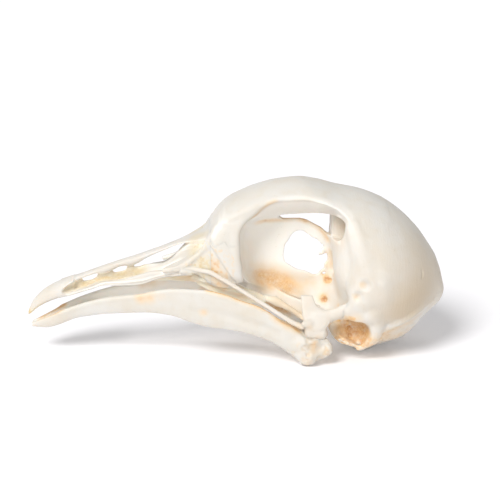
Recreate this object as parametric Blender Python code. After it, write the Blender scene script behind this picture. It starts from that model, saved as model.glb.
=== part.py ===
# Skull of a rock pigeon with its lower jaw, lying on its jaw joints and the
# base of the braincase, life size.
#
# Frame: metres, +Z up.  X runs along the skull from the bill tip (-X) to the
# back of the head (+X), -Y is the animal's left side, and the XZ plane is the
# plane of symmetry.  The floor is z = 0.  All tables below are in millimetres,
# counted along X from a point under the front of the orbits; the bones hang on
# an empty that moves them so that the skull is centred on the origin.

import bpy
import bmesh
import math
from mathutils import Vector, Matrix

for old in list(bpy.data.objects):
    bpy.data.objects.remove(old, do_unlink=True)

MM = 0.001
CENTRE_X = 1.6        # moves the skull so that it is centred along X
GAP = 0.25            # clear gap between bones that meet
SEPTUM = 0.62         # thickness of the wall between the two orbits
ROUND = 16            # points round a loft

# ---------------------------------------------------------------- dimensions
# Cranium: top and bottom of the midline section, half width, height of the
# widest line, and how square the section is above and below that line.
HEAD_TOP = [(-5.2, 16.1), (-4.9, 16.9), (-4.2, 18.1), (-2.8, 19.5), (-1.3, 20.3),
            (0.8, 21.2), (3.2, 21.85), (6.0, 22.15), (8.8, 21.8), (11.3, 21.15),
            (13.9, 20.6), (16.4, 19.6), (19.0, 17.9), (21.7, 15.0), (23.4, 12.3),
            (24.4, 9.8), (24.8, 8.0)]
HEAD_BOTTOM = [(-5.2, 14.9), (-4.8, 12.9), (-4.2, 11.2), (-3.0, 10.0), (-1.0, 9.1), (1.0, 8.4),
               (4.0, 7.5), (7.0, 6.3), (9.0, 5.0), (10.8, 3.4), (12.4, 1.3),
               (13.6, -0.1), (14.8, -0.1), (16.0, 0.35), (17.4, 0.75), (18.6, 1.0), (20.0, 1.7),
               (21.3, 3.1), (22.4, 4.5), (23.6, 5.4), (24.4, 6.2), (24.8, 7.3)]
HEAD_WIDTH = [(-5.2, 3.7), (-4.2, 4.3), (-2.6, 4.75), (-1.0, 4.95), (1.5, 4.75),
              (4.0, 4.7), (6.0, 5.0), (8.0, 5.9), (10.0, 7.4), (12.0, 8.95),
              (14.0, 9.65), (16.0, 9.8), (18.0, 9.25), (20.0, 8.0), (22.0, 6.0),
              (23.5, 4.0), (24.4, 2.2), (24.8, 0.9)]
HEAD_WAIST = [(-5.2, 15.5), (-4.2, 16.9), (-2.6, 17.9), (-1.0, 18.7), (1.5, 19.6),
              (4.0, 20.1), (6.5, 20.0), (8.5, 18.9), (10.5, 15.5), (12.5, 12.2),
              (15.0, 11.0), (19.0, 10.2), (22.0, 9.2), (24.0, 8.0), (24.8, 7.6)]
HEAD_SQUARE_LOW = [(-5.2, 3.0), (0.0, 3.0), (8.0, 2.4), (12.0, 2.0), (15.0, 1.85), (24.8, 1.9)]

# Orbit: the hole's front, rear, bottom and top at each distance from midline.
ORBIT_FRONT = [(0.0, 0.0), (1.5, -0.75), (3.0, -1.4), (5.0, -2.0), (8.0, -2.4), (12.0, -2.8)]
ORBIT_REAR = [(0.0, 9.9), (1.5, 10.5), (3.0, 11.1), (5.0, 11.9), (8.0, 12.95), (12.0, 14.2)]
ORBIT_FLOOR = [(0.0, 8.3), (1.0, 7.0), (2.0, 5.2), (3.5, 3.4), (5.0, 2.8), (12.0, 2.2)]
ORBIT_ROOF = [(0.0, 17.0), (1.5, 17.9), (3.0, 18.9), (5.0, 20.4), (8.0, 22.2), (12.0, 24.0)]

# Upper bill: midline dorsal profile, thickness and half width of the dorsal
# bar, and the two lower bars.
BILL_TOP = [(-28.0, 5.5), (-27.7, 6.4), (-27.0, 7.35), (-26.0, 8.25), (-24.6, 9.05),
            (-23.4, 9.5), (-21.0, 10.25), (-17.7, 11.45), (-14.0, 12.6), (-10.1, 13.9),
            (-7.6, 14.85), (-5.5, 15.85)]
BILL_BAR_DEPTH = [(-24.0, 1.1), (-22.0, 0.75), (-18.0, 0.7), (-12.0, 0.62), (-8.0, 0.62), (-5.5, 0.95)]
BILL_BAR_WIDTH = [(-24.0, 1.2), (-22.0, 0.85), (-17.0, 0.8), (-12.0, 1.15), (-8.0, 2.3), (-5.5, 3.7)]
BILL_TIP_LOW = [(-28.0, 5.2), (-27.6, 5.55), (-26.8, 6.15), (-25.6, 6.6), (-24.4, 7.1), (-22.8, 7.75), (-21.0, 8.3)]
BILL_TIP_WIDTH = [(-28.0, 0.28), (-27.4, 0.62), (-26.4, 1.05), (-25.0, 1.45), (-23.5, 1.75), (-21.0, 2.0)]
BAR_TOP = [(-24.4, 8.1), (-22.5, 8.65), (-20.0, 9.4), (-17.0, 10.05), (-13.5, 10.95), (-10.5, 11.5), (-7.6, 11.75)]
BAR_LOW = [(-24.4, 7.2), (-22.5, 7.9), (-20.0, 8.65), (-17.0, 9.35), (-13.5, 10.2), (-10.5, 10.75), (-7.6, 11.15)]
BAR_SIDE = [(-24.4, 1.25), (-22.5, 1.5), (-20.0, 1.7), (-16.0, 2.0), (-13.0, 2.6), (-10.5, 3.2), (-7.6, 3.85)]
BAR_THICK = [(-24.4, 0.35), (-20.0, 0.38), (-14.0, 0.4), (-10.5, 0.5), (-7.6, 0.36)]
STRUT = [(-9.6, 3.35, 11.35, 0.42), (-8.3, 3.6, 12.0, 0.36), (-6.9, 3.7, 13.2, 0.34),
         (-5.6, 3.6, 14.6, 0.38), (-5.45, 3.3, 15.35, 0.42)]

# Lower jaw: height of each branch, its distance from midline and thickness.
JAW_TOP = [(-27.5, 4.15), (-26.0, 4.65), (-24.0, 5.6), (-22.0, 6.4), (-20.4, 6.95), (-17.5, 7.65),
           (-14.0, 8.15), (-11.4, 8.85), (-8.9, 9.15), (-5.8, 9.1), (-3.4, 8.6),
           (0.9, 7.05), (3.0, 6.0), (4.6, 4.95), (6.0, 3.9)]
JAW_LOW = [(-27.5, 3.5), (-26.0, 3.45), (-24.6, 3.65), (-22.2, 4.65), (-19.7, 5.2), (-16.2, 5.55),
           (-12.8, 5.8), (-10.2, 5.65), (-7.7, 4.9), (-5.6, 4.4), (-2.5, 4.15),
           (0.0, 3.7), (2.1, 3.0), (3.9, 2.0), (5.2, 0.9), (6.0, 0.5)]
JAW_SIDE = [(-27.5, 0.3), (-26.0, 0.85), (-24.0, 1.3), (-20.0, 1.9), (-15.4, 2.75), (-10.0, 4.2),
            (-4.0, 5.75), (0.0, 6.7), (3.0, 7.35), (6.0, 7.85)]
JAW_THICK = [(-27.5, 0.3), (-24.0, 0.38), (-16.0, 0.42), (-8.0, 0.5), (-2.0, 0.55), (3.0, 0.75), (6.0, 1.0)]

# Cheek bar and pterygoid: x, distance from midline, z, radius.
JUGAL = [(-7.15, 3.98, 11.55, 0.34), (-5.6, 4.55, 11.4, 0.33), (-3.6, 5.2, 10.5, 0.3), (-1.2, 5.95, 9.15, 0.3),
         (1.2, 6.7, 7.75, 0.29), (3.6, 7.4, 6.3, 0.29), (5.35, 7.85, 5.3, 0.33)]
PTERYGOID = [(2.3, 1.35, 6.75, 0.38), (3.6, 2.0, 6.35, 0.42), (5.4, 3.4, 5.6, 0.36), (7.15, 4.95, 4.75, 0.42)]
# Palatine: top, bottom, distance from midline and half thickness.
PALATE_TOP = [(-15.5, 9.55), (-10.0, 9.6), (-5.0, 9.0), (-1.0, 8.0), (1.9, 7.1)]
PALATE_LOW = [(-15.5, 9.0), (-10.0, 8.9), (-6.0, 8.0), (-2.5, 6.85), (0.5, 6.2), (1.9, 6.35)]
PALATE_SIDE = [(-15.5, 1.0), (-10.0, 1.5), (-5.0, 2.0), (-1.0, 1.85), (1.9, 1.15)]
PALATE_THICK = [(-15.5, 0.3), (-10.0, 0.36), (-4.0, 0.5), (0.0, 0.45), (1.9, 0.34)]

BONE = (0.86, 0.80, 0.68, 1.0)

# ------------------------------------------------------------------- helpers
main = bpy.data.collections.new("pigeon_skull")
guides = bpy.data.collections.new("cutters")
bpy.context.scene.collection.children.link(main)
bpy.context.scene.collection.children.link(guides)


frame = bpy.data.objects.new("skull_frame", None)
frame.location = (CENTRE_X * MM, 0.0, 0.0)
main.objects.link(frame)


def along(table, x):
    """Smooth value at x through a table of (x, value), without overshoot."""
    if x <= table[0][0]:
        return table[0][1]
    if x >= table[-1][0]:
        return table[-1][1]
    n = len(table)
    h = [table[i + 1][0] - table[i][0] for i in range(n - 1)]
    d = [(table[i + 1][1] - table[i][1]) / h[i] for i in range(n - 1)]
    m = [d[0]] + [0.0] * (n - 2) + [d[-1]]
    for i in range(1, n - 1):
        if d[i - 1] * d[i] > 0.0:
            w1, w2 = 2 * h[i] + h[i - 1], h[i] + 2 * h[i - 1]
            m[i] = (w1 + w2) / (w1 / d[i - 1] + w2 / d[i])
    i = next(k for k in range(n - 1) if x <= table[k + 1][0])
    t = (x - table[i][0]) / h[i]
    return (table[i][1] * (1 + 2 * t) * (1 - t) ** 2 + h[i] * m[i] * t * (1 - t) ** 2
            + table[i + 1][1] * t * t * (3 - 2 * t) + h[i] * m[i + 1] * t * t * (t - 1))


def steps(start, end, count, ends=0.0):
    """Stations from start to end, crowded at the far end when ends > 0."""
    out = []
    for i in range(count + 1):
        t = i / count
        t = (1 - ends) * t + ends * math.sin(t * math.pi / 2)
        out.append(start + (end - start) * t)
    return out


def mesh_object(name, bm, collection=None):
    bmesh.ops.recalc_face_normals(bm, faces=bm.faces[:])
    me = bpy.data.meshes.new(name)
    bm.to_mesh(me)
    bm.free()
    ob = bpy.data.objects.new(name, me)
    (collection or guides).objects.link(ob)
    if (collection or guides) is guides:
        ob.hide_render = True
        ob.display_type = 'WIRE'
    return ob


def loft(name, rings):
    """Closed body through rings of equal point count, in millimetres."""
    bm = bmesh.new()
    rows = [[bm.verts.new(Vector(p) * MM) for p in ring] for ring in rings]
    n = len(rows[0])
    for a, b in zip(rows, rows[1:]):
        for i in range(n):
            bm.faces.new((a[i], a[(i + 1) % n], b[(i + 1) % n], b[i]))
    for row in (rows[0], rows[-1]):
        mid = bm.verts.new(sum((v.co for v in row), Vector()) / n)
        for i in range(n):
            bm.faces.new((row[i], row[(i + 1) % n], mid))
    return mesh_object(name, bm)


def ring_x(x, yc, half, top, low, waist=None, sq_up=2.0, sq_low=2.0, n=ROUND):
    """Section across X: widest at the waist, square above or below it."""
    waist = (top + low) / 2 if waist is None else min(max(waist, low + 0.02), top - 0.02)
    pts = []
    for i in range(n):
        t = 2 * math.pi * (i + 0.5) / n
        c, s = math.cos(t), math.sin(t)
        q = sq_up if s > 0 else sq_low
        y = half * math.copysign(abs(c) ** (2 / q), c)
        z = abs(s) ** (2 / q) * ((top - waist) if s > 0 else (low - waist))
        pts.append((x, yc + y, waist + z))
    return pts


def ball(name, centre, radii, turn=(0, 0, 0), seg=14, rings=8):
    bm = bmesh.new()
    bmesh.ops.create_uvsphere(bm, u_segments=seg, v_segments=rings, radius=1.0)
    size = Matrix.Diagonal((radii[0] * MM, radii[1] * MM, radii[2] * MM, 1.0))
    rot = Matrix.Rotation(math.radians(turn[2]), 4, 'Z') @ Matrix.Rotation(math.radians(turn[1]), 4, 'Y') \
        @ Matrix.Rotation(math.radians(turn[0]), 4, 'X')
    bmesh.ops.transform(bm, matrix=Matrix.Translation(Vector(centre) * MM) @ rot @ size, verts=bm.verts)
    return mesh_object(name, bm)


def block(name, low, high):
    bm = bmesh.new()
    bmesh.ops.create_cube(bm, size=1.0)
    low, high = Vector(low) * MM, Vector(high) * MM
    size = high - low
    bmesh.ops.transform(bm, matrix=Matrix.Translation((low + high) / 2)
                        @ Matrix.Diagonal((size.x, size.y, size.z, 1.0)), verts=bm.verts)
    return mesh_object(name, bm)


def rod(name, points, side=1.0, resolution=3, per=3, flat=1.0):
    """Round bar with a varying radius, from a bevelled curve with capped ends."""
    curve = bpy.data.curves.new(name, 'CURVE')
    curve.dimensions = '3D'
    curve.bevel_depth = MM
    curve.bevel_resolution = resolution
    curve.use_fill_caps = True
    key = [0.0]
    for a, b in zip(points, points[1:]):
        key.append(key[-1] + (Vector(a[:3]) - Vector(b[:3])).length)
    tables = [list(zip(key, [p[k] for p in points])) for k in range(4)]
    count = per * (len(points) - 1)
    spline = curve.splines.new('POLY')
    spline.points.add(count)
    for i in range(count + 1):
        s = key[-1] * i / count
        x, y, z, r = (along(t, s) for t in tables)
        spline.points[i].co = (x * MM, side * y * MM, z * MM, 1.0)
        spline.points[i].radius = r
    ob = bpy.data.objects.new(name, curve)
    guides.objects.link(ob)
    bpy.context.view_layer.update()
    me = bpy.data.meshes.new_from_object(ob.evaluated_get(bpy.context.evaluated_depsgraph_get()))
    bpy.data.objects.remove(ob, do_unlink=True)
    bm = bmesh.new()
    bm.from_mesh(me)
    bpy.data.meshes.remove(me)
    bmesh.ops.remove_doubles(bm, verts=bm.verts, dist=1e-7)
    return mesh_object(name, bm)


def combine(base, tool, operation):
    """Apply one exact Boolean and drop the tool."""
    mod = base.modifiers.new("step", 'BOOLEAN')
    mod.object = tool
    mod.operation = operation
    mod.solver = 'EXACT'
    bpy.context.view_layer.update()
    me = bpy.data.meshes.new_from_object(base.evaluated_get(bpy.context.evaluated_depsgraph_get()))
    base.modifiers.clear()
    old = base.data
    base.data = me
    bpy.data.meshes.remove(old)
    return base


def join(base, *tools):
    for tool in tools:
        combine(base, tool, 'UNION')
        bpy.data.objects.remove(tool, do_unlink=True)
    return base


def cut(base, *tools):
    for tool in tools:
        combine(base, tool, 'DIFFERENCE')
        bpy.data.objects.remove(tool, do_unlink=True)
    return base


def clear_of(base, neighbour, gap=GAP):
    """Cut the base back so that it stays a gap away from its neighbour."""
    grown = neighbour.copy()
    grown.data = neighbour.data.copy()
    guides.objects.link(grown)
    bm = bmesh.new()
    bm.from_mesh(grown.data)
    bm.normal_update()
    moves = [v.normal * gap * MM for v in bm.verts]
    for v, move in zip(bm.verts, moves):
        v.co += move
    bm.to_mesh(grown.data)
    bm.free()
    cut(base, grown)
    return base


def mirrored(ob, name):
    """The same bone on the other side of the XZ plane."""
    bm = bmesh.new()
    bm.from_mesh(ob.data)
    bmesh.ops.scale(bm, vec=(1, -1, 1), verts=bm.verts)
    bmesh.ops.reverse_faces(bm, faces=bm.faces)
    return mesh_object(name, bm)


def finish(ob, tint):
    """Tidy a bone, give it its material and put it in the skull's collection."""
    bm = bmesh.new()
    bm.from_mesh(ob.data)
    bmesh.ops.remove_doubles(bm, verts=bm.verts, dist=2e-6)
    bmesh.ops.dissolve_degenerate(bm, dist=1e-6, edges=bm.edges)
    bmesh.ops.triangulate(bm, faces=bm.faces)
    bm.to_mesh(ob.data)
    bm.free()
    mat = bpy.data.materials.new(ob.name + "_bone")
    mat.use_nodes = True
    shader = mat.node_tree.nodes["Principled BSDF"]
    shader.inputs["Base Color"].default_value = tuple(c * tint for c in BONE[:3]) + (1.0,)
    shader.inputs["Roughness"].default_value = 0.5
    shader.inputs["Metallic"].default_value = 0.0
    ob.data.materials.clear()
    ob.data.materials.append(mat)
    ob.data.shade_smooth()
    ob.data.set_sharp_from_angle(angle=math.radians(40))
    guides.objects.unlink(ob)
    main.objects.link(ob)
    ob.parent = frame
    ob.hide_render = False
    ob.display_type = 'TEXTURED'
    return ob


# ------------------------------------------------------------------- cranium
def head_ring(x):
    return ring_x(x, 0.0, along(HEAD_WIDTH, x), along(HEAD_TOP, x), along(HEAD_BOTTOM, x),
                  along(HEAD_WAIST, x), 2.1, along(HEAD_SQUARE_LOW, x), 24)


def orbit_cutter(side):
    rings = []
    for y in (SEPTUM / 2, 1.1, 2.2, 3.6, 5.0, 7.0, 9.2, 12.0):
        square = 0.74 + 0.14 * min(y / 4.5, 1.0)
        front, rear = along(ORBIT_FRONT, y), along(ORBIT_REAR, y)
        low, high = along(ORBIT_FLOOR, y), along(ORBIT_ROOF, y)
        cx, cz = (front + rear) / 2, (low + high) / 2
        ring = []
        for i in range(20):
            t = 2 * math.pi * i / 20
            c, s = math.cos(t), math.sin(t)
            ring.append((cx + (rear - front) / 2 * math.copysign(abs(c) ** square, c), side * y,
                         cz + (high - low) / 2 * math.copysign(abs(s) ** square, s)))
        rings.append(ring)
    return loft("orbit", rings)


cranium = loft("cranium", [head_ring(x) for x in steps(-5.2, 24.8, 22, 0.45)])
for side in (-1, 1):
    # wing of bone behind the ear opening, ending in the paroccipital process
    wing = rod("wing", [(14.6, 7.6, 6.4, 0.9), (14.75, 7.4, 4.4, 0.95), (14.4, 7.0, 2.9, 0.8), (13.7, 6.5, 1.85, 0.42)], side, 2, 2)
    # postorbital process, a short spur that closes the orbit behind
    spur = rod("spur", [(13.6, 8.6, 12.6, 0.7), (13.1, 8.6, 10.8, 0.7), (12.4, 8.35, 9.1, 0.45), (12.0, 8.1, 8.2, 0.24)], side, 2, 2)
    join(cranium, wing, spur)
# rounded back of the braincase over the cerebellum
join(cranium, ball("cerebellum", (20.4, 0, 8.2), (4.15, 4.6, 4.6)))
for side in (-1, 1):
    cut(cranium, orbit_cutter(side))
    # bay for the quadrate below and behind the orbit
    cut(cranium, ball("bay", (8.6, side * 8.3, 3.4), (4.3, 4.9, 4.5)))
    # ear opening
    cut(cranium, ball("ear", (12.2, side * 8.2, 3.75), (2.35, 4.2, 1.75)))
    # hollow in front of the lacrimal
    cut(cranium, ball("hollow", (-5.2, side * 5.6, 11.0), (2.9, 2.7, 4.2)))
# window in the wall between the orbits, and the slit above it that opens
# into the front of the brain cavity
cut(cranium, ball("window", (7.05, 0, 12.45), (2.7, 2.0, 2.85), (0, 12, 0), 10, 16))
slit = [ring_x(x, 0, half, top, low, None, 3.0, 3.0, 16)
        for x, half, top, low in ((3.9, 0.9, 17.8, 17.35), (5.5, 1.8, 18.05, 17.0), (7.2, 2.5, 18.3, 16.85),
                                  (8.8, 3.0, 18.45, 16.1), (10.2, 3.4, 18.4, 15.1), (11.4, 3.4, 18.0, 14.95),
                                  (12.3, 2.9, 17.3, 15.4))]
cut(cranium, loft("slit", slit))
cut(cranium, ball("brain_cavity", (13.2, 0, 16.5), (2.4, 3.8, 2.1)))
# foramen magnum and, in front of it, the occipital condyle
cut(cranium, ball("foramen_magnum", (21.3, 0, 3.1), (1.5, 1.7, 1.9), (0, 48, 0)))
join(cranium, ball("condyle", (19.35, 0, 1.45), (0.8, 0.75, 0.6), seg=12, rings=8))
cut(cranium, block("floor", (-10, -12, -3), (30, 12, 0)))

# ---------------------------------------------------------------- upper bill
bill_tip = loft("upper_bill", [
    ring_x(x, 0, along(BILL_TIP_WIDTH, x), along(BILL_TOP, x), along(BILL_TIP_LOW, x),
           along(BILL_TIP_LOW, x) + 0.35 * (along(BILL_TOP, x) - along(BILL_TIP_LOW, x)), 1.9, 2.6)
    for x in steps(-28.0, -22.4, 9)])
dorsal_bar = loft("dorsal_bar", [
    ring_x(x, 0, along(BILL_BAR_WIDTH, x), along(BILL_TOP, x), along(BILL_TOP, x) - along(BILL_BAR_DEPTH, x),
           None, 2.2, 2.6, 12) for x in steps(-23.9, -5.5, 11)])
upper_bill = join(bill_tip, dorsal_bar)
for side in (-1, 1):
    # hollow of the long nostril behind the tip
    cut(upper_bill, ball("nostril", (-21.6, side * 1.9, 8.95), (2.4, 1.5, 0.85), (0, -20, 0)))
# floor of the bill between the lower bars
join(upper_bill, loft("palate_plate", [
    ring_x(x, 0, along(BAR_SIDE, x), along(BAR_LOW, x) + 0.42, along(BAR_LOW, x) - 0.02, None, 4, 4, 12)
    for x in steps(-24.2, -17.2, 5)]))
for side in (-1, 1):
    bar = loft("lower_bar", [
        ring_x(x, side * along(BAR_SIDE, x), along(BAR_THICK, x), along(BAR_TOP, x), along(BAR_LOW, x), None, 2.4, 2.4, 8)
        for x in steps(-24.2, -7.6, 10)])
    join(upper_bill, bar, rod("strut", STRUT, side, 2, 2))

for side in (-1, 1):
    # curled inner plate of the cheek bone, beside the root of the strut
    join(upper_bill, ball("inner_plate", (-8.0, side * 2.45, 11.9), (2.0, 1.15, 1.0), (0, -24, side * 14), 10, 6))

# ----------------------------------------------------------------- lower jaw
jaw = None
for side in (-1, 1):
    branch = loft("branch", [
        ring_x(x, side * along(JAW_SIDE, x), along(JAW_THICK, x), along(JAW_TOP, x), along(JAW_LOW, x),
               None, 2.6, 2.6, 12) for x in steps(-27.5, 6.0, 18)])
    joint = ball("joint", (6.75, side * 7.85, 2.15), (2.5, 1.75, 2.3), (0, 12, 0), 14, 9)
    heel = rod("heel", [(7.2, 7.7, 1.9, 1.3), (8.6, 7.5, 2.5, 1.15), (9.3, 7.3, 2.9, 0.75)], side, 2, 1)
    shelf = rod("shelf", [(7.0, 7.4, 2.6, 1.0), (7.4, 6.1, 2.8, 0.75), (7.9, 5.1, 3.1, 0.45)], side, 2, 1)
    jaw = branch if jaw is None else join(jaw, branch)
    join(jaw, joint, heel, shelf)
jaw.name = "mandible"
join(jaw, loft("symphysis", [
    ring_x(x, 0, along(JAW_SIDE, x), along(JAW_LOW, x) + 0.55 + 0.2 * (x + 27.5) / 8, along(JAW_LOW, x) + 0.02, None, 3, 3, 12)
    for x in steps(-27.45, -19.6, 6)]))
# trough under the bill tip, socket for the quadrate, and the resting flats
for side in (-1, 1):
    cut(jaw, ball("socket", (7.3, side * 7.6, 5.2), (2.6, 2.6, 1.9)))
cut(jaw, block("floor", (-30, -12, -3), (12, 12, 0)))

# ---------------------------------------------------------------- small bones
quadrate = ball("quadrate_left", (8.1, -7.0, 5.6), (2.1, 1.05, 1.75), (0, 20, 0), 12, 8)
join(quadrate,
     rod("foot", [(8.0, 6.9, 5.4, 1.2), (7.5, 7.4, 4.3, 1.25), (7.3, 7.5, 3.95, 0.95)], -1, 2, 1),
     rod("inner_foot", [(7.9, 6.6, 4.8, 1.0), (8.1, 5.8, 4.1, 0.75)], -1, 2, 1),
     rod("orbital_process", [(7.9, 6.6, 5.8, 1.2), (7.0, 5.9, 7.0, 0.9), (6.75, 5.4, 7.8, 0.72)], -1, 2, 1),
     rod("otic_process", [(8.6, 7.0, 5.6, 0.95), (10.2, 7.4, 6.1, 0.75), (11.6, 7.7, 6.6, 0.75), (12.4, 7.7, 6.85, 0.55)], -1, 2, 1))

jugal = rod("jugal_left", JUGAL, -1, 2, 2)
pterygoid = rod("pterygoid_left", PTERYGOID, -1, 2, 3)
palatine = loft("palatine_left", [
    ring_x(x, -along(PALATE_SIDE, x), along(PALATE_THICK, x), along(PALATE_TOP, x), along(PALATE_LOW, x), None, 2.4, 2.4, 10)
    for x in steps(-15.5, 1.9, 11)])
lacrimal = loft("lacrimal_left", [
    [(cx + lx * dx, -cy + dy, z) for dx, dy in
     ((-1, -0.3), (-0.6, -0.45), (0.5, -0.45), (1, -0.2), (1, 0.2), (0.5, 0.4), (-0.6, 0.4), (-1, 0.25))]
    for z, cx, lx, cy in ((16.4, -3.35, 1.15, 4.95), (15.0, -3.3, 1.15, 5.0), (13.2, -2.85, 0.9, 4.95),
                          (11.4, -2.1, 0.62, 4.9), (10.2, -1.5, 0.48, 4.9), (9.55, -1.15, 0.42, 4.95))])

for bone in (pterygoid, jugal):
    clear_of(bone, quadrate)
clear_of(jugal, upper_bill)
clear_of(palatine, upper_bill)
pairs = [(bone, mirrored(bone, bone.name.replace("_left", "_right")))
         for bone in (quadrate, jugal, pterygoid, palatine, lacrimal)]
for left, right in pairs:
    for bone in (left, right):
        if "jugal" not in bone.name:
            clear_of(cranium, bone)
for bone in pairs[0]:
    clear_of(jaw, bone)
clear_of(cranium, upper_bill)

finish(cranium, 1.0)
finish(upper_bill, 0.98)
finish(jaw, 0.96)
for (left, right), tint in zip(pairs, (1.0, 1.02, 0.94, 0.92, 0.98)):
    finish(left, tint)
    finish(right, tint)

for spare in list(guides.objects):
    bpy.data.objects.remove(spare, do_unlink=True)
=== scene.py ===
# Looks of a rock pigeon's skull with its lower jaw: fine bone surfaces, dry
# ivory bone, a pale floor and soft light.
#
# Each bone is a distance field, built from named sizes in millimetres in the
# skull's own frame (X along the skull from the bill, +Y the animal's right, Z up
# from the floor), and meshed.  The frame's X is CENTRE_X further on.

import math

import bpy
import numpy as np
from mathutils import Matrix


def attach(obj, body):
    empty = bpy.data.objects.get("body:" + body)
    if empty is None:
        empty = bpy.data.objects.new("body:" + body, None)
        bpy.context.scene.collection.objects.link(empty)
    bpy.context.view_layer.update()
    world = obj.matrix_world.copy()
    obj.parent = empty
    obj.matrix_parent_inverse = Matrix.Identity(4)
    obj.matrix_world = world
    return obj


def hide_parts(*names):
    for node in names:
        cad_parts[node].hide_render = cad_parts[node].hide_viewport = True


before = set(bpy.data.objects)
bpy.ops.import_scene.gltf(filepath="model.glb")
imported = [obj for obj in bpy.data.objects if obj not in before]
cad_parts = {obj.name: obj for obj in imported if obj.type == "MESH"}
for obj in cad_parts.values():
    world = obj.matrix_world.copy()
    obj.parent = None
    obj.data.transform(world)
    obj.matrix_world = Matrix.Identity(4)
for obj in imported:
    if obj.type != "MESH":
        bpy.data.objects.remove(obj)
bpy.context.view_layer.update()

import openvdb
from mathutils import Vector

MM = 0.001
CENTRE_X = 1.6
FAR = 9.0
F = np.float32
SPLIT_X = -5.35        # hinge line between the bill and the forehead
SEPTUM = 0.27          # half thickness of the wall between the orbits


# ------------------------------------------------------------------ functions
def curve(rows):
    """Smooth function through rows of (x, value), without overshoot."""
    x, v = np.array(rows, float).T
    h, d = np.diff(x), np.diff(v) / np.diff(x)
    m = np.zeros_like(v)
    m[0], m[-1] = d[0], d[-1]
    for i in range(1, len(x) - 1):
        if d[i - 1] * d[i] > 0:
            w1, w2 = 2 * h[i] + h[i - 1], h[i] + 2 * h[i - 1]
            m[i] = (w1 + w2) / (w1 / d[i - 1] + w2 / d[i])

    def at(q):
        q = np.clip(np.asarray(q, float), x[0], x[-1])
        i = np.clip(np.searchsorted(x, q) - 1, 0, len(h) - 1)
        t = (q - x[i]) / h[i]
        return (v[i] * (1 + 2 * t) * (1 - t) ** 2 + h[i] * m[i] * t * (1 - t) ** 2
                + v[i + 1] * t * t * (3 - 2 * t) + h[i] * m[i + 1] * t * t * (t - 1)).astype(F)
    return at


def round_end(rows, end):
    """As curve, for a body that closes as a round end at x = end."""
    at = curve([(-math.sqrt(end - x), v) for x, v in rows])
    return lambda q: at(-np.sqrt(np.clip(end - np.asarray(q, float), 0, None)))


def ring(rows):
    """Smooth function of an angle in degrees through rows of (angle, value)."""
    rows = sorted(rows)
    ext = [(a - 360, v) for a, v in rows[-4:]] + rows + [(a + 360, v) for a, v in rows[:4]]
    fine = np.arange(-180, 181, 1.0)
    v = curve(ext)(fine)
    for _ in range(3):
        v[1:-1] = 0.5 * v[1:-1] + 0.25 * (v[2:] + v[:-2])
    return lambda q: np.interp(q, fine, v).astype(F)


def smin(a, b, k):
    if k <= 0:
        return np.minimum(a, b)
    h = np.clip(0.5 + 0.5 * (b - a) / k, 0, 1)
    return b + (a - b) * h - k * h * (1 - h)


def smax(a, b, k):
    return -smin(-a, -b, k)


def noise(p, size, seed):
    """Smooth value noise in -1..1 at points p, with cells of the given size."""
    q = np.asarray(p, float) / size + seed * 17.31
    i = np.floor(q).astype(np.int64)
    t = q - i
    t = t * t * t * (t * (t * 6 - 15) + 10)
    out = np.zeros(len(q))
    for dx in (0, 1):
        for dy in (0, 1):
            for dz in (0, 1):
                n = ((i[:, 0] + dx) * 73856093) ^ ((i[:, 1] + dy) * 19349663) ^ ((i[:, 2] + dz) * 83492791) ^ (seed * 2654435)
                n = (n ^ (n >> 13)) * 1274126177 & 0x7fffffff
                r = ((n ^ (n >> 16)) & 0xffff) / 32767.5 - 1
                w = (t[:, 0] if dx else 1 - t[:, 0]) * (t[:, 1] if dy else 1 - t[:, 1]) * (t[:, 2] if dz else 1 - t[:, 2])
                out += r * w
    return out


def sponge(p, size, seed):
    return noise(p, size, seed) + 0.45 * noise(p, size * 0.5, seed + 1)


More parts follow.
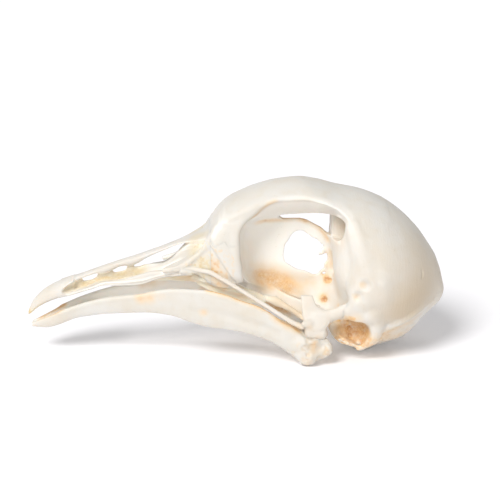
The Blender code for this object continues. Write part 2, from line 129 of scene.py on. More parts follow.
# --------------------------------------------------------------- distance field
class Bone:
    """Signed distance of one bone on a grid. Folded, it holds the right half."""

    def __init__(self, low, high, step, fold=False):
        self.step, self.fold, self.axes = step, fold, []
        for i in range(3):
            start = 0.0 if fold and i == 1 else low[i]
            count = int(math.ceil((high[i] - start) / step))
            self.axes.append((start + (np.arange(count) + 0.5) * step).astype(F))
        self.d = np.full([len(a) for a in self.axes], FAR, F)

    def change(self, shape, add, k):
        low, high, f = shape
        m = k + 0.9
        cells = tuple(slice(int(np.searchsorted(a, lo - m)), int(np.searchsorted(a, hi + m)))
                      for a, lo, hi in zip(self.axes, low, high))
        if any(s.stop - s.start < 2 for s in cells):
            return
        x, y, z = (a[s] for a, s in zip(self.axes, cells))
        d = f(x[:, None, None], y[None, :, None], z[None, None, :]).astype(F)
        old = self.d[cells]
        self.d[cells] = smin(old, d, k) if add else smax(old, -d, k)

    def add(self, *shapes, k=0.0):
        for s in shapes:
            self.change(s, True, k)

    def cut(self, *shapes, k=0.0):
        for s in shapes:
            self.change(s, False, k)

    def erode(self, shape, size, depth, seed, level=0.0):
        """Spongy hollows: the surface sinks where a noise is high."""
        low, high, f = shape
        cells = tuple(slice(int(np.searchsorted(a, lo)), int(np.searchsorted(a, hi))) for a, lo, hi in zip(self.axes, low, high))
        if any(s.stop - s.start < 2 for s in cells):
            return
        x, y, z = (a[s] for a, s in zip(self.axes, cells))
        inside = np.clip(-f(x[:, None, None], y[None, :, None], z[None, None, :]) / 0.5, 0, 1)
        old = self.d[cells]
        near = (np.abs(old) < 1.2) & (inside > 0)
        if near.any():
            i, j, k = np.nonzero(near)
            n = sponge(np.stack([x[i], y[j], z[k]], 1), size, seed)
            old[near] += (depth * inside[near] * np.clip((n - level) * 2.2, 0, 1)).astype(F)

    def soften(self, shape, width, fade=0.6):
        """Blur the surface inside a shape, which rounds off its creases."""
        low, high, f = shape
        cells = tuple(slice(int(np.searchsorted(a, lo)), int(np.searchsorted(a, hi))) for a, lo, hi in zip(self.axes, low, high))
        if any(s.stop - s.start < 3 for s in cells):
            return
        x, y, z = (a[s] for a, s in zip(self.axes, cells))
        weight = np.clip(-f(x[:, None, None], y[None, :, None], z[None, None, :]) / fade, 0, 1).astype(F)
        old = self.d[cells]
        new = old.copy()
        for _ in range(int(round(2 * (width / self.step) ** 2))):
            for k in range(3):
                v = np.moveaxis(new, k, 0)
                mean = 0.5 * v
                mean[1:] += 0.25 * v[:-1]
                mean[:-1] += 0.25 * v[1:]
                mean[0] += 0.25 * v[0]
                mean[-1] += 0.25 * v[-1]
                new = np.moveaxis(mean, 0, k)
        old += weight * (new - old)

    def sample(self, p):
        d = self.d
        q = np.array(p, float)
        if self.fold:
            q[:, 1] = np.abs(q[:, 1])
        i, t, beyond = [], [], np.zeros(len(q))
        for k in range(3):
            over = np.maximum(q[:, k] - self.axes[k][-1], 0)
            if not (self.fold and k == 1):
                over += np.maximum(self.axes[k][0] - q[:, k], 0)
            beyond += over ** 2
            u = np.clip((q[:, k] - self.axes[k][0]) / self.step, 0, len(self.axes[k]) - 1.001)
            i.append(u.astype(np.int64))
            t.append(u - i[-1])
        out = np.sqrt(beyond)
        for dx in (0, 1):
            for dy in (0, 1):
                for dz in (0, 1):
                    w = (t[0] if dx else 1 - t[0]) * (t[1] if dy else 1 - t[1]) * (t[2] if dz else 1 - t[2])
                    out += w * d[i[0] + dx, i[1] + dy, i[2] + dz]
        return out

    def slope(self, p):
        e = 0.7 * self.step
        g = np.stack([self.sample(p + e * n) - self.sample(p - e * n) for n in np.eye(3)], 1) / (2 * e)
        return g

    def mesh(self):
        """Points in millimetres and faces of the surface."""
        d = np.concatenate([self.d[:, ::-1], self.d], 1) if self.fold else self.d
        start = [a[0] for a in self.axes]
        if self.fold:
            start[1] = -self.axes[1][-1]
        grid = openvdb.FloatGrid(3 * self.step)
        grid.copyFromArray(np.ascontiguousarray(np.clip(d, -3 * self.step, 3 * self.step)))
        points, tris, quads = grid.convertToPolygons(isovalue=0.0)
        p = np.array(points, float) * self.step + np.array(start, float)
        tris, quads = np.array(tris, np.int64).reshape(-1, 3), np.array(quads, np.int64).reshape(-1, 4)
        for _ in range(2):
            g = self.slope(p)
            p -= np.clip(self.sample(p) / np.maximum((g ** 2).sum(1), 0.05), -0.6 * self.step, 0.6 * self.step)[:, None] * g
        return p, tris, quads


def turned(degrees):
    a, b, c = (math.radians(v) for v in degrees)
    rx = np.array([[1, 0, 0], [0, math.cos(a), -math.sin(a)], [0, math.sin(a), math.cos(a)]])
    ry = np.array([[math.cos(b), 0, math.sin(b)], [0, 1, 0], [-math.sin(b), 0, math.cos(b)]])
    rz = np.array([[math.cos(c), -math.sin(c), 0], [math.sin(c), math.cos(c), 0], [0, 0, 1]])
    return rz @ ry @ rx


def ball(centre, radii, turn=(0, 0, 0)):
    r = np.array(radii, float) if np.ndim(radii) else np.full(3, float(radii))
    m = turned(turn)
    reach = np.abs(m) @ r

    def f(x, y, z):
        x, y, z = x - centre[0], y - centre[1], z - centre[2]
        u = [m[0, i] * x + m[1, i] * y + m[2, i] * z for i in range(3)]
        k0 = np.sqrt(sum((u[i] / r[i]) ** 2 for i in range(3)))
        k1 = np.sqrt(sum((u[i] / r[i] ** 2) ** 2 for i in range(3)))
        return (k0 - 1) * np.where(k1 > 1e-4, k0 / np.maximum(k1, 1e-4), r.min())
    return [centre[i] - reach[i] for i in range(3)], [centre[i] + reach[i] for i in range(3)], f


def tube(points, per=5, flat=None):
    """Rounded bar through (x, y, z, radius), thinned along flat = (direction, factor)."""
    p = np.array(points, float)
    key = np.concatenate([[0], np.cumsum(np.linalg.norm(np.diff(p[:, :3], axis=0), axis=1))])
    s = np.linspace(0, key[-1], per * (len(p) - 1) + 1)
    q = np.stack([curve(list(zip(key, p[:, i])))(s) for i in range(4)], 1).astype(float)
    m = np.eye(3)
    if flat:
        n = np.array(flat[0], float) / np.linalg.norm(flat[0])
        m = np.eye(3) + (flat[1] - 1) * np.outer(n, n)
    c = q[:, :3] @ m.T
    reach = q[:, 3].max()

    def f(x, y, z):
        if flat:
            x, y, z = (m[i, 0] * x + m[i, 1] * y + m[i, 2] * z for i in range(3))
        best = None
        for a, b, ra, rb in zip(c, c[1:], q[:, 3], q[1:, 3]):
            e = b - a
            t = np.clip(((x - a[0]) * e[0] + (y - a[1]) * e[1] + (z - a[2]) * e[2]) / max(e @ e, 1e-9), 0, 1)
            d = np.sqrt((x - a[0] - t * e[0]) ** 2 + (y - a[1] - t * e[1]) ** 2 + (z - a[2] - t * e[2]) ** 2) - (ra + t * (rb - ra))
            best = d if best is None else np.minimum(best, d)
        return best
    return list(q[:, :3].min(0) - reach), list(q[:, :3].max(0) + reach), f


def oval(a, b, half_a, half_b, power):
    """Distance to a superellipse with the given half sizes, from offsets a, b."""
    a, b = np.abs(a) / half_a, np.abs(b) / half_b
    r = np.maximum((a ** power + b ** power) ** (1 / power), 1e-3)
    g = np.sqrt(((a / r) ** (power - 1) / half_a) ** 2 + ((b / r) ** (power - 1) / half_b) ** 2)
    return (r - 1) / np.maximum(g, 1e-3)


def plate(x0, x1, side, thick, top, low, power=2.4, lean=0.0):
    """Body along X with superelliptic sections. Sizes are functions of x."""
    xs = np.linspace(x0, x1, 60)
    s, t, a, b = side(xs), thick(xs), top(xs), low(xs)
    extra = abs(lean) * (a - b).max()

    def f(x, y, z):
        q = x[:, 0, 0]
        s, t, a, b = (g(q)[:, None, None] for g in (side, thick, top, low))
        mid = (a + b) / 2
        d = oval(y - s - lean * (z - mid), z - mid, t, np.maximum((a - b) / 2, 0.02), power)
        return np.maximum(d, np.maximum(x0 - x, x - x1))
    return [x0, (s - t).min() - extra, b.min()], [x1, (s + t).max() + extra, a.max()], f


def upright(z0, z1, cx, half, side, thick, power=2.4, lean=0.0):
    """Plate that stands along Z: middle x, half length, distance from midline."""
    zs = np.linspace(z0, z1, 60)
    c, l, s, t = cx(zs), half(zs), side(zs), thick(zs)

    def f(x, y, z):
        q = z[0, 0]
        c, l, s, t = (g(q)[None, None, :] for g in (cx, half, side, thick))
        d = oval(x - c, y - s - lean * (x - c), l, t, power)
        return np.maximum(d, np.maximum(z0 - z, z - z1))
    return [(c - l).min(), (s - t).min() - abs(lean) * l.max(), z0], [(c + l).max(), (s + t).max() + abs(lean) * l.max(), z1], f


def flat(v):
    return curve([(-100, v), (100, v)])


# ------------------------------------------------------------------ dimensions
END = 24.74
HEAD_TOP = round_end([(-5.6, 15.8), (-5.2, 16.1), (-4.9, 16.9), (-4.2, 18.1), (-2.8, 19.5), (-1.3, 20.3), (0.8, 21.2),
                      (3.2, 21.85), (6.0, 22.15), (8.8, 21.75), (11.3, 21.15), (13.9, 20.6), (16.4, 19.6), (19.0, 17.9),
                      (21.7, 15.0), (23.4, 12.2), (24.35, 9.6), (24.73, 7.8)], END)
HEAD_LOW = round_end([(-5.6, 15.0), (-5.2, 14.3), (-4.8, 13.0), (-4.2, 11.6), (-3.0, 10.2), (-1.0, 9.1), (1.0, 8.4), (4.0, 7.5),
                      (7.0, 6.3), (9.0, 5.0), (10.8, 3.2), (12.4, 1.2), (13.6, 0.02), (14.8, 0.02), (16.0, 0.35),
                      (17.4, 0.75), (18.6, 1.1), (20.0, 1.95), (21.3, 3.3), (22.4, 4.6), (23.4, 5.5), (24.2, 6.2),
                      (24.6, 7.0), (24.73, 7.7)], END)
HEAD_WIDTH = round_end([(-5.6, 3.5), (-5.2, 3.7), (-4.2, 4.3), (-2.6, 4.75), (-1.0, 4.95), (1.5, 4.75), (4.0, 4.7), (6.0, 5.0),
                        (8.0, 5.9), (10.0, 7.4), (12.0, 8.95), (14.0, 9.65), (16.0, 9.75), (18.0, 9.2), (20.0, 8.0),
                        (22.0, 6.0), (23.5, 3.9), (24.3, 2.3), (24.73, 0.5)], END)
HEAD_WAIST = curve([(-5.6, 15.4), (-5.2, 15.6), (-4.2, 16.9), (-2.6, 17.9), (-1.0, 18.7), (1.5, 19.6), (4.0, 20.1), (6.5, 20.0),
                    (8.5, 18.9), (10.5, 15.5), (12.5, 12.2), (15.0, 11.0), (19.0, 10.2), (22.0, 9.2), (24.0, 8.0), (24.73, 7.75)])
HEAD_SQUARE = curve([(-5.2, 3.0), (0.0, 3.0), (8.0, 2.4), (12.0, 2.0), (15.0, 1.85), (24.8, 1.9)])

# Orbit: at each angle round its middle, the wall's distance at the septum and
# at the rim, and how far the rim is from the midline.
ORBIT_X, ORBIT_Z = 5.4, 12.6
ORBIT = [(-177, 6.0, 7.27, 4.8), (-166, 6.1, 7.1, 4.8), (-155, 6.3, 6.93, 4.8), (-147, 6.3, 6.75, 4.7), (-138, 6.1, 8.4, 4.4),
         (-120, 5.1, 10.0, 4.2), (-90, 4.3, 10.2, 4.2), (-60, 5.0, 10.2, 5.0), (-45, 5.4, 9.6, 7.0), (-34, 5.9, 8.1, 8.4),
         (-27, 6.0, 7.25, 8.5), (-20, 5.8, 7.12, 8.7), (-12, 5.4, 7.5, 9.0), (-2, 5.0, 7.7, 9.2), (10, 4.85, 7.67, 9.3),
         (19, 4.8, 7.75, 9.2), (31, 4.85, 8.5, 8.9), (38, 4.9, 8.98, 8.6), (45, 5.0, 9.2, 8.2), (52, 5.1, 9.18, 7.6),
         (59, 5.1, 8.86, 7.0), (70, 4.95, 8.38, 6.2), (79, 4.85, 8.22, 5.6), (96, 4.75, 8.04, 5.2), (111, 4.95, 8.2, 5.0),
         (121, 5.2, 8.0, 4.8), (131, 5.65, 7.75, 4.7), (141, 6.5, 7.95, 4.6), (149, 6.9, 8.08, 4.5), (155, 6.75, 8.1, 4.6),
         (164, 6.3, 7.76, 4.7), (173, 6.1, 7.43, 4.8)]
WINDOW_X, WINDOW_Z = 7.0, 12.5
WINDOW = ring([(-171, 2.74), (-156, 2.78), (-139, 2.52), (-121, 2.42), (-95, 2.36), (-81, 2.65), (-70, 3.08), (-60, 3.28),
               (-50, 3.12), (-40, 3.2), (-31, 2.9), (-20, 3.05), (-6, 2.83), (4, 2.5), (11, 2.18), (19, 2.56), (28, 2.3),
               (44, 2.27), (66, 2.17), (85, 2.52), (103, 2.98), (113, 3.03), (125, 2.92), (143, 2.71), (159, 2.76), (175, 2.67)])

BILL_TOP = curve([(-28.2, 5.3), (-27.8, 6.3), (-27.0, 7.35), (-26.0, 8.25), (-24.6, 9.05), (-23.4, 9.5), (-21.0, 10.25),
                  (-17.7, 11.45), (-14.0, 12.6), (-10.1, 13.9), (-7.6, 14.85), (-5.5, 15.85), (-4.6, 16.6)])
BILL_DEPTH = curve([(-24.0, 1.1), (-22.2, 0.74), (-21.0, 0.58), (-19.6, 0.6), (-18.9, 0.98), (-18.0, 1.12), (-17.3, 1.0), (-16.6, 0.84), (-16.0, 0.9),
                    (-15.4, 1.12), (-14.8, 1.2), (-14.1, 1.1), (-13.4, 0.88), (-12.7, 0.72), (-12.0, 0.62), (-10.6, 0.48), (-9.2, 0.36), (-8.3, 0.4), (-7.4, 0.62), (-5.5, 0.9), (-4.6, 1.0)])
BILL_WIDTH = curve([(-24.0, 1.25), (-22.0, 0.85), (-17.0, 0.75), (-12.0, 0.9), (-9.2, 1.15), (-8.0, 1.7), (-6.7, 2.9), (-5.5, 3.65), (-4.6, 3.9)])
TIP_LOW = curve([(-28.2, 4.85), (-27.8, 5.1), (-27.0, 5.8), (-25.6, 6.6), (-24.4, 7.1), (-22.8, 7.7), (-21.0, 8.3)])
TIP_WIDTH = curve([(-28.2, 0.3), (-27.5, 0.66), (-26.4, 1.05), (-25.0, 1.45), (-23.5, 1.75), (-21.0, 2.0)])
BAR_TOP = curve([(-24.4, 7.6), (-23.6, 7.75), (-22.5, 8.05), (-21.2, 8.5), (-20.0, 8.85), (-18.6, 9.42), (-17.4, 9.6), (-16.2, 9.75), (-15.0, 10.1),
                 (-13.7, 10.45), (-12.4, 10.85), (-11.0, 11.0), (-9.5, 11.25), (-7.6, 11.65)])
BAR_LOW = curve([(-24.4, 7.25), (-23.6, 7.45), (-22.5, 7.72), (-21.2, 8.15), (-20.0, 8.5), (-18.6, 8.95), (-17.9, 9.0), (-17.2, 8.9), (-15.8, 8.92), (-13.9, 9.05),
                 (-12.6, 9.45), (-11.3, 9.95), (-9.5, 10.4), (-7.6, 10.72)])
BAR_SIDE = curve([(-24.4, 1.25), (-22.5, 1.45), (-20.0, 1.6), (-16.0, 1.75), (-13.0, 1.9), (-11.0, 2.25), (-9.5, 2.95), (-7.6, 3.85)])
BAR_THICK = curve([(-24.4, 0.28), (-20.0, 0.24), (-14.0, 0.3), (-10.5, 0.44), (-7.6, 0.34)])

JAW_TOP = curve([(-27.75, 3.9), (-26.0, 4.65), (-24.0, 5.6), (-22.0, 6.4), (-20.4, 6.95), (-17.5, 7.65), (-14.0, 8.15), (-11.4, 8.85),
                 (-8.9, 9.15), (-5.8, 9.15), (-3.4, 8.72), (-1.6, 8.1), (0.4, 7.5), (2.0, 6.7), (3.4, 5.75), (4.8, 5.0), (6.0, 4.2)])
JAW_LOW = curve([(-27.75, 3.3), (-26.0, 3.3), (-24.6, 3.65), (-22.2, 4.65), (-19.7, 5.2), (-16.2, 5.55), (-12.8, 5.8), (-10.2, 5.65),
                 (-7.7, 4.9), (-5.6, 4.4), (-2.5, 4.15), (0.0, 3.7), (2.1, 3.0), (3.6, 2.2), (4.6, 1.5), (6.0, 0.7)])
JAW_SIDE = curve([(-27.75, 0.25), (-26.0, 0.85), (-24.0, 1.3), (-20.0, 1.9), (-15.4, 2.75), (-10.0, 4.2), (-4.0, 5.75), (0.0, 6.7),
                  (3.0, 7.35), (6.0, 7.85)])
JAW_THICK = curve([(-27.75, 0.3), (-24.0, 0.34), (-16.0, 0.38), (-8.0, 0.46), (-2.0, 0.5), (3.0, 0.7), (6.0, 1.0)])
PALATE_TOP = curve([(-15.9, 9.75), (-14.0, 10.1), (-10.0, 10.6), (-7.0, 10.8), (-5.0, 10.2), (-1.0, 8.7), (1.9, 7.1)])
PALATE_LOW = curve([(-15.9, 9.25), (-14.0, 9.35), (-10.0, 9.45), (-7.0, 9.35), (-5.0, 8.6), (-2.5, 7.4), (0.5, 6.4), (1.9, 6.45)])
PALATE_SIDE = curve([(-15.5, 1.0), (-10.0, 1.7), (-5.0, 2.3), (-1.0, 1.95), (1.9, 1.15)])
PALATE_THICK = curve([(-15.5, 0.26), (-10.0, 0.32), (-4.0, 0.42), (0.0, 0.42), (1.9, 0.34)])


# ---------------------------------------------------------- braincase and face
def head(x, y, z):
    q = x[:, 0, 0]
    w, top, low, mid, sq = (g(q)[:, None, None] for g in (HEAD_WIDTH, HEAD_TOP, HEAD_LOW, HEAD_WAIST, HEAD_SQUARE))
    mid = np.clip(mid, low + 0.03, top - 0.03)
    up = z > mid
    a = np.abs(y) / np.maximum(w, 0.05)
    b = np.where(up, (z - mid) / (top - mid), (mid - z) / (mid - low))
    p = np.where(up, F(2.1), sq)
    r = np.maximum((a ** p + b ** p) ** (1 / p), 0.02) - 1
    g = np.gradient(r, float(x[1, 0, 0] - x[0, 0, 0]))
    r /= np.maximum(np.sqrt(g[0] ** 2 + g[1] ** 2 + g[2] ** 2), 0.02)
    return smax(np.maximum(r, -FAR), np.maximum(-5.7 - x, x - END), 0.2)


def skin_y(x, z):
    """Distance from the midline to the side of the braincase."""
    w, top, low, mid, sq = (float(g(x)) for g in (HEAD_WIDTH, HEAD_TOP, HEAD_LOW, HEAD_WAIST, HEAD_SQUARE))
    s, p = ((z - mid) / (top - mid), 2.1) if z > mid else ((mid - z) / (mid - low), sq)
    return w * max(1 - min(s, 0.999) ** p, 0.0) ** (1 / p)


def polar(x, z, cx, cz):
    dx, dz = x - cx, z - cz
    return np.degrees(np.arctan2(dz, dx)), np.sqrt(dx * dx + dz * dz)


ORBIT_IN, ORBIT_RIM, ORBIT_OUT = (ring([(r[0], r[i]) for r in ORBIT]) for i in (1, 2, 3))


def orbit_field(x, y, z):
    angle, far = polar(x, z, ORBIT_X, ORBIT_Z)
    inner, rim, out = ORBIT_IN(angle), ORBIT_RIM(angle), ORBIT_OUT(angle)
    t = np.clip((y - SEPTUM) / (out - SEPTUM), 0, 2.2)
    wall = inner + (rim - inner) * t ** 0.92
    return smax((far - wall) * 0.92, SEPTUM - y + 0 * far, 1.15)


def window_field(x, y, z):
    angle, far = polar(x, z, WINDOW_X, WINDOW_Z)
    return np.maximum(far - WINDOW(angle) + 0 * y, np.abs(y) - 1.4)


EVERYWHERE = ([-99] * 3, [99] * 3)
HEAD = (*EVERYWHERE, head)
ORBIT_HOLE = ([-3.5, 0, 1], [15.5, 12, 22.3], orbit_field)
WINDOW_HOLE = ([3.5, 0, 8.5], [11, 1.4, 16], window_field)

CAVITY = plate(3.5, 15.2, flat(0), curve([(3.5, 0.5), (5.0, 1.3), (7.0, 2.6), (9.0, 4.8), (10.5, 6.05), (12.0, 6.3), (13.5, 5.7), (15.2, 3.4)]),
               curve([(3.5, 17.7), (5.0, 17.65), (7.0, 17.8), (9.0, 18.15), (10.5, 18.5), (12.0, 18.6), (13.5, 18.2), (15.2, 16.6)]),
               curve([(3.5, 17.3), (4.4, 16.95), (6.0, 16.98), (7.0, 16.8), (8.0, 16.3), (9.0, 15.7), (10.0, 14.9), (11.0, 14.7), (13.0, 14.6), (15.2, 15.6)]), 2.8)


def crest_path(rows, lift=0.0):
    return [(x, skin_y(x, z) + lift, z, r) for x, z, r in rows]


def under_skin(shape, margin):
    """The part of a shape that lies under the surface of the head."""
    low, high, f = shape
    return low, high, lambda x, y, z: np.maximum(f(x, y, z), head(x, y, z) + margin)


def fused_skull(b):
    """Braincase, lacrimals and upper bill, which are one bone in an adult."""
    b.add(HEAD)
    b.soften(([8.0, 0, 0], [25.2, 10.1, 22.6], lambda x, y, z: 8.5 - x + 0 * y + 0 * z), 0.5, 2.0)
    # floor of the ear region, wing behind the ear, cerebellar swelling
    b.add(ball((12.5, 5.0, 4.35), (3.1, 3.4, 2.5)), k=0.9)
    b.add(tube([(14.9, 7.9, 7.0, 0.9), (15.3, 7.6, 5.0, 0.95), (15.0, 7.1, 3.2, 0.75), (14.0, 6.6, 2.1, 0.42)]), k=0.7)
    b.add(ball((20.1, 0, 8.4), (4.0, 4.6, 4.5)), k=0.8)
    # temple: short postorbital process, and the bar that carries the quadrate
    b.add(tube([(13.8, 8.5, 12.4, 0.7), (13.1, 8.6, 10.9, 0.6), (12.5, 8.4, 9.7, 0.5), (12.1, 8.2, 8.9, 0.4)]), k=0.5)
    # orbits, with the brain bulging into the back of each, quadrate bays, ears
    b.cut(ORBIT_HOLE, k=0.3)
    b.add(under_skin(BRAIN, 0.5), k=0.9)
    b.add(under_skin(tube([(12.1, 7.1, 17.2, 0.5), (12.8, 7.8, 15.2, 0.75), (13.1, 8.1, 13.0, 0.85), (12.9, 8.0, 11.2, 0.8), (12.3, 7.6, 9.6, 0.6)]), 0.3), k=1.1)
    b.cut(ball((7.7, 8.6, 3.4), (3.4, 5.1, 4.2)), k=0.5)
    b.add(ORBIT_FLOOR, k=0.5)
    b.add(tube([(15.6, 8.5, 9.4, 1.2), (14.0, 8.4, 8.7, 1.15), (12.9, 8.2, 8.0, 0.95), (12.0, 7.95, 7.35, 0.72), (11.3, 7.6, 6.85, 0.45)], flat=((0, 1, 0), 1.3)), k=0.9)
    b.add(tube([(10.6, 6.7, 5.95, 0.42), (12.3, 7.4, 6.4, 0.78), (14.4, 8.0, 6.5, 1.0)]), k=0.7)
    b.soften(ball((12.9, 8.2, 11.6), (2.6, 2.3, 5.8)), 0.32)
    b.cut(EAR, k=0.18)
    b.cut(ball((12.2, 6.3, 4.2), (1.7, 0.8, 1.1)), k=0.5)
    # dents in the temple
    b.cut(ball((13.35, 9.9, 10.75), (0.7, 0.62, 0.55), (0, 35, 0)), k=0.6)
    b.cut(ball((12.65, 9.3, 9.1), (0.42, 0.55, 0.5), (0, 15, 0)), k=0.5)
    # rostrum under the septum, optic chiasm swelling
    b.add(tube([(-1.5, 0, 9.6, 0.8), (3.0, 0, 8.4, 0.75), (6.5, 0, 7.3, 0.85), (9.5, 0, 6.2, 1.3)]), k=0.8)
    # openings: slit into the brain cavity, window between the orbits
    b.cut(CAVITY, k=0.16)
    b.add(plate(10.22, 15.6, flat(0), flat(1.3), flat(18.9), flat(14.2), 8.0), k=0.1)
    b.cut(WINDOW_HOLE, k=0.12)
    b.add(tube([(9.75, 0.05, 13.0, 0.5), (9.2, 0.1, 12.55, 0.36), (8.7, 0.12, 12.1, 0.18), (8.15, 0.12, 11.6, 0.05)], flat=((0, 1, 0), 3.6)), k=0.08)
    b.add(tube([(9.9, 0, 14.7, 0.25), (9.2, 0.1, 15.2, 0.12), (8.85, 0.1, 15.65, 0.05)]), k=0.15)
    b.cut(tube([(9.7, 0.72, 13.4, 0.16), (9.95, 0.85, 12.4, 0.46), (10.18, 0.95, 11.3, 0.62), (10.3, 1.0, 10.6, 0.66)]), k=0.12)
    b.cut(ball((9.88, 0.8, 8.95), (0.62, 0.55, 0.36), (0, 12, 0)), k=0.12)
    b.cut(ball((9.45, 0.3, 9.75), (0.28, 0.5, 0.2)), k=0.06)
    b.cut(tube([(9.26, 3.3, 7.14, 0.42), (9.31, 2.3, 6.89, 0.41), (9.33, 2.0, 6.82, 0.36)]), k=0.12)
    b.cut(tube([(10.7, 4.8, 6.74, 0.17), (10.75, 4.1, 6.55, 0.15)]), k=0.1)
    b.cut(tube([(11.42, 4.4, 6.56, 0.22), (11.5, 3.6, 6.36, 0.2)]), k=0.1)
    # groove where the septum meets the roof
    b.cut(tube([(-0.75, 2.5, 16.05, 0.13), (-0.3, 1.4, 15.85, 0.2), (0.75, 0.75, 16.3, 0.2), (1.8, 0.5, 16.85, 0.13)]), k=0.12)
    # front of the face: spongy wall before the orbit, recess under the hinge
    b.cut(ball((-5.8, 0.9, 12.0), (1.5, 1.4, 2.4), (0, 20, 0)), k=0.4)
    b.cut(ball((-5.6, 6.4, 10.9), (2.7, 2.1, 3.9), (0, 12, 0)), k=0.9)
    b.add(SPONGY_WALL, k=0.35)
    b.erode(ball((-4.9, 3.8, 12.0), (2.4, 1.6, 3.0), (0, 25, 0)), 0.36, 0.09, 31, 0.15)
    b.cut(tube([(20.85, skin_y(20.85, 11.8) + 0.02, 11.8, 0.12), (20.95, skin_y(20.95, 11.3) + 0.02, 11.3, 0.16), (20.8, skin_y(20.8, 10.9) + 0.02, 10.9, 0.1)]), k=0.08)
    # foramen magnum, condyle, crest and rims
    b.cut(ball((21.4, 0, 3.0), (1.5, 1.65, 1.9), (0, 48, 0)), k=0.25)
    b.cut(ball((19.9, 0, 5.0), (1.7, 1.6, 1.5)), k=0.3)
    b.add(ball((19.35, 0, 1.5), (0.75, 0.72, 0.6)), k=0.2)
    b.add(tube(crest_path([(14.6, 2.9, 0.2), (15.4, 4.0, 0.32), (16.6, 4.65, 0.34), (17.8, 5.1, 0.32), (19.1, 5.7, 0.3), (20.3, 6.4, 0.28), (21.4, 6.9, 0.25), (22.6, 7.4, 0.2)], -0.14)), k=0.6)
    b.add(tube([(13.9, 7.5, 5.45, 0.17), (14.6, 7.5, 4.7, 0.24), (14.85, 7.3, 3.8, 0.27), (14.4, 6.95, 2.8, 0.27), (13.7, 6.75, 2.0, 0.26), (13.15, 6.6, 1.65, 0.2)]), k=0.25)
    b.add(tube([(13.6, 6.6, 1.68, 0.2), (12.4, 6.6, 2.26, 0.19), (10.9, 6.45, 2.88, 0.17), (9.95, 6.1, 3.2, 0.17), (9.5, 5.8, 3.6, 0.17), (9.5, 5.6, 4.3, 0.17)]), k=0.3)
    b.erode(ball((12.1, 6.2, 4.0), (2.7, 2.2, 1.9)), 0.75, 0.3, 41, 0.0)
    # fine dimples of the occiput
    b.erode(ball((17.2, 5.6, 2.9), (3.4, 3.0, 2.3)), 0.5, 0.10, 51, 0.1)
    # lacrimal and the raised front rim of the orbit
    b.add(LACRIMAL, k=0.8)
    b.add(tube([(-1.7, 4.75, 12.0, 0.3), (-1.95, 4.85, 14.0, 0.32), (-1.95, 4.7, 16.0, 0.32), (-1.3, 4.5, 17.5, 0.2), (-0.6, 4.4, 18.3, 0.08)]), k=0.8)
    bill_parts(b)
    b.soften(ball((-22.4, 0.45, 8.8), (1.1, 0.85, 0.8)), 0.16, 0.3)
    b.soften(ball((-4.9, 4.2, 13.3), (2.8, 2.2, 4.3)), 0.2)


BRAIN = upright(7.5, 18.7, curve([(7.5, 13.9), (10.0, 13.75), (12.0, 13.65), (16.0, 13.7), (18.7, 14.2)]),
                curve([(7.5, 2.5), (9.0, 3.0), (11.2, 3.3), (16.0, 3.25), (17.5, 2.9), (18.7, 2.2)]),
                flat(3.0), curve([(7.5, 3.5), (9.0, 4.2), (11.2, 4.8), (16.0, 4.9), (18.7, 4.0)]), 2.2)
EAR = upright(2.05, 5.62, curve([(2.05, 13.25), (2.5, 13.1), (2.95, 12.7), (3.35, 12.15), (3.8, 12.04), (4.3, 12.08), (4.7, 12.12), (5.1, 12.25), (5.62, 12.4)]),
              curve([(2.05, 0.15), (2.5, 0.75), (2.95, 1.5), (3.35, 2.32), (3.8, 2.56), (4.3, 2.48), (4.7, 2.3), (5.1, 1.95), (5.45, 1.4), (5.62, 0.9)]), flat(9.2), flat(4.0), 3.4)
ORBIT_FLOOR = plate(-2.6, 8.6, curve([(-2.6, 0), (0.8, 0.0), (2.0, 0.6), (4.0, 1.7), (6.2, 3.1), (8.6, 4.4)]), curve([(-2.6, 0.3), (1.0, 0.35), (4.0, 0.32), (8.6, 0.3)]),
                    curve([(-2.6, 9.6), (2.0, 8.6), (5.0, 7.4), (8.6, 6.6)]), curve([(-2.6, 9.2), (-1.2, 8.4), (0.6, 7.35), (2.0, 6.6), (3.2, 6.1), (4.3, 5.6), (5.3, 5.2), (6.3, 4.7), (8.6, 4.6)]), 5.0, lean=-0.25)
SPONGY_WALL = upright(9.2, 16.4, curve([(9.2, -3.3), (10.0, -3.8), (11.3, -4.4), (12.0, -4.45), (12.8, -4.3), (14.0, -3.85), (16.4, -3.0)]),
                      curve([(9.2, 1.3), (10.0, 2.0), (11.3, 2.75), (12.0, 2.55), (12.8, 2.3), (14.0, 1.85), (16.4, 1.1)]), flat(3.92), flat(0.72), 3.0, lean=0.18)


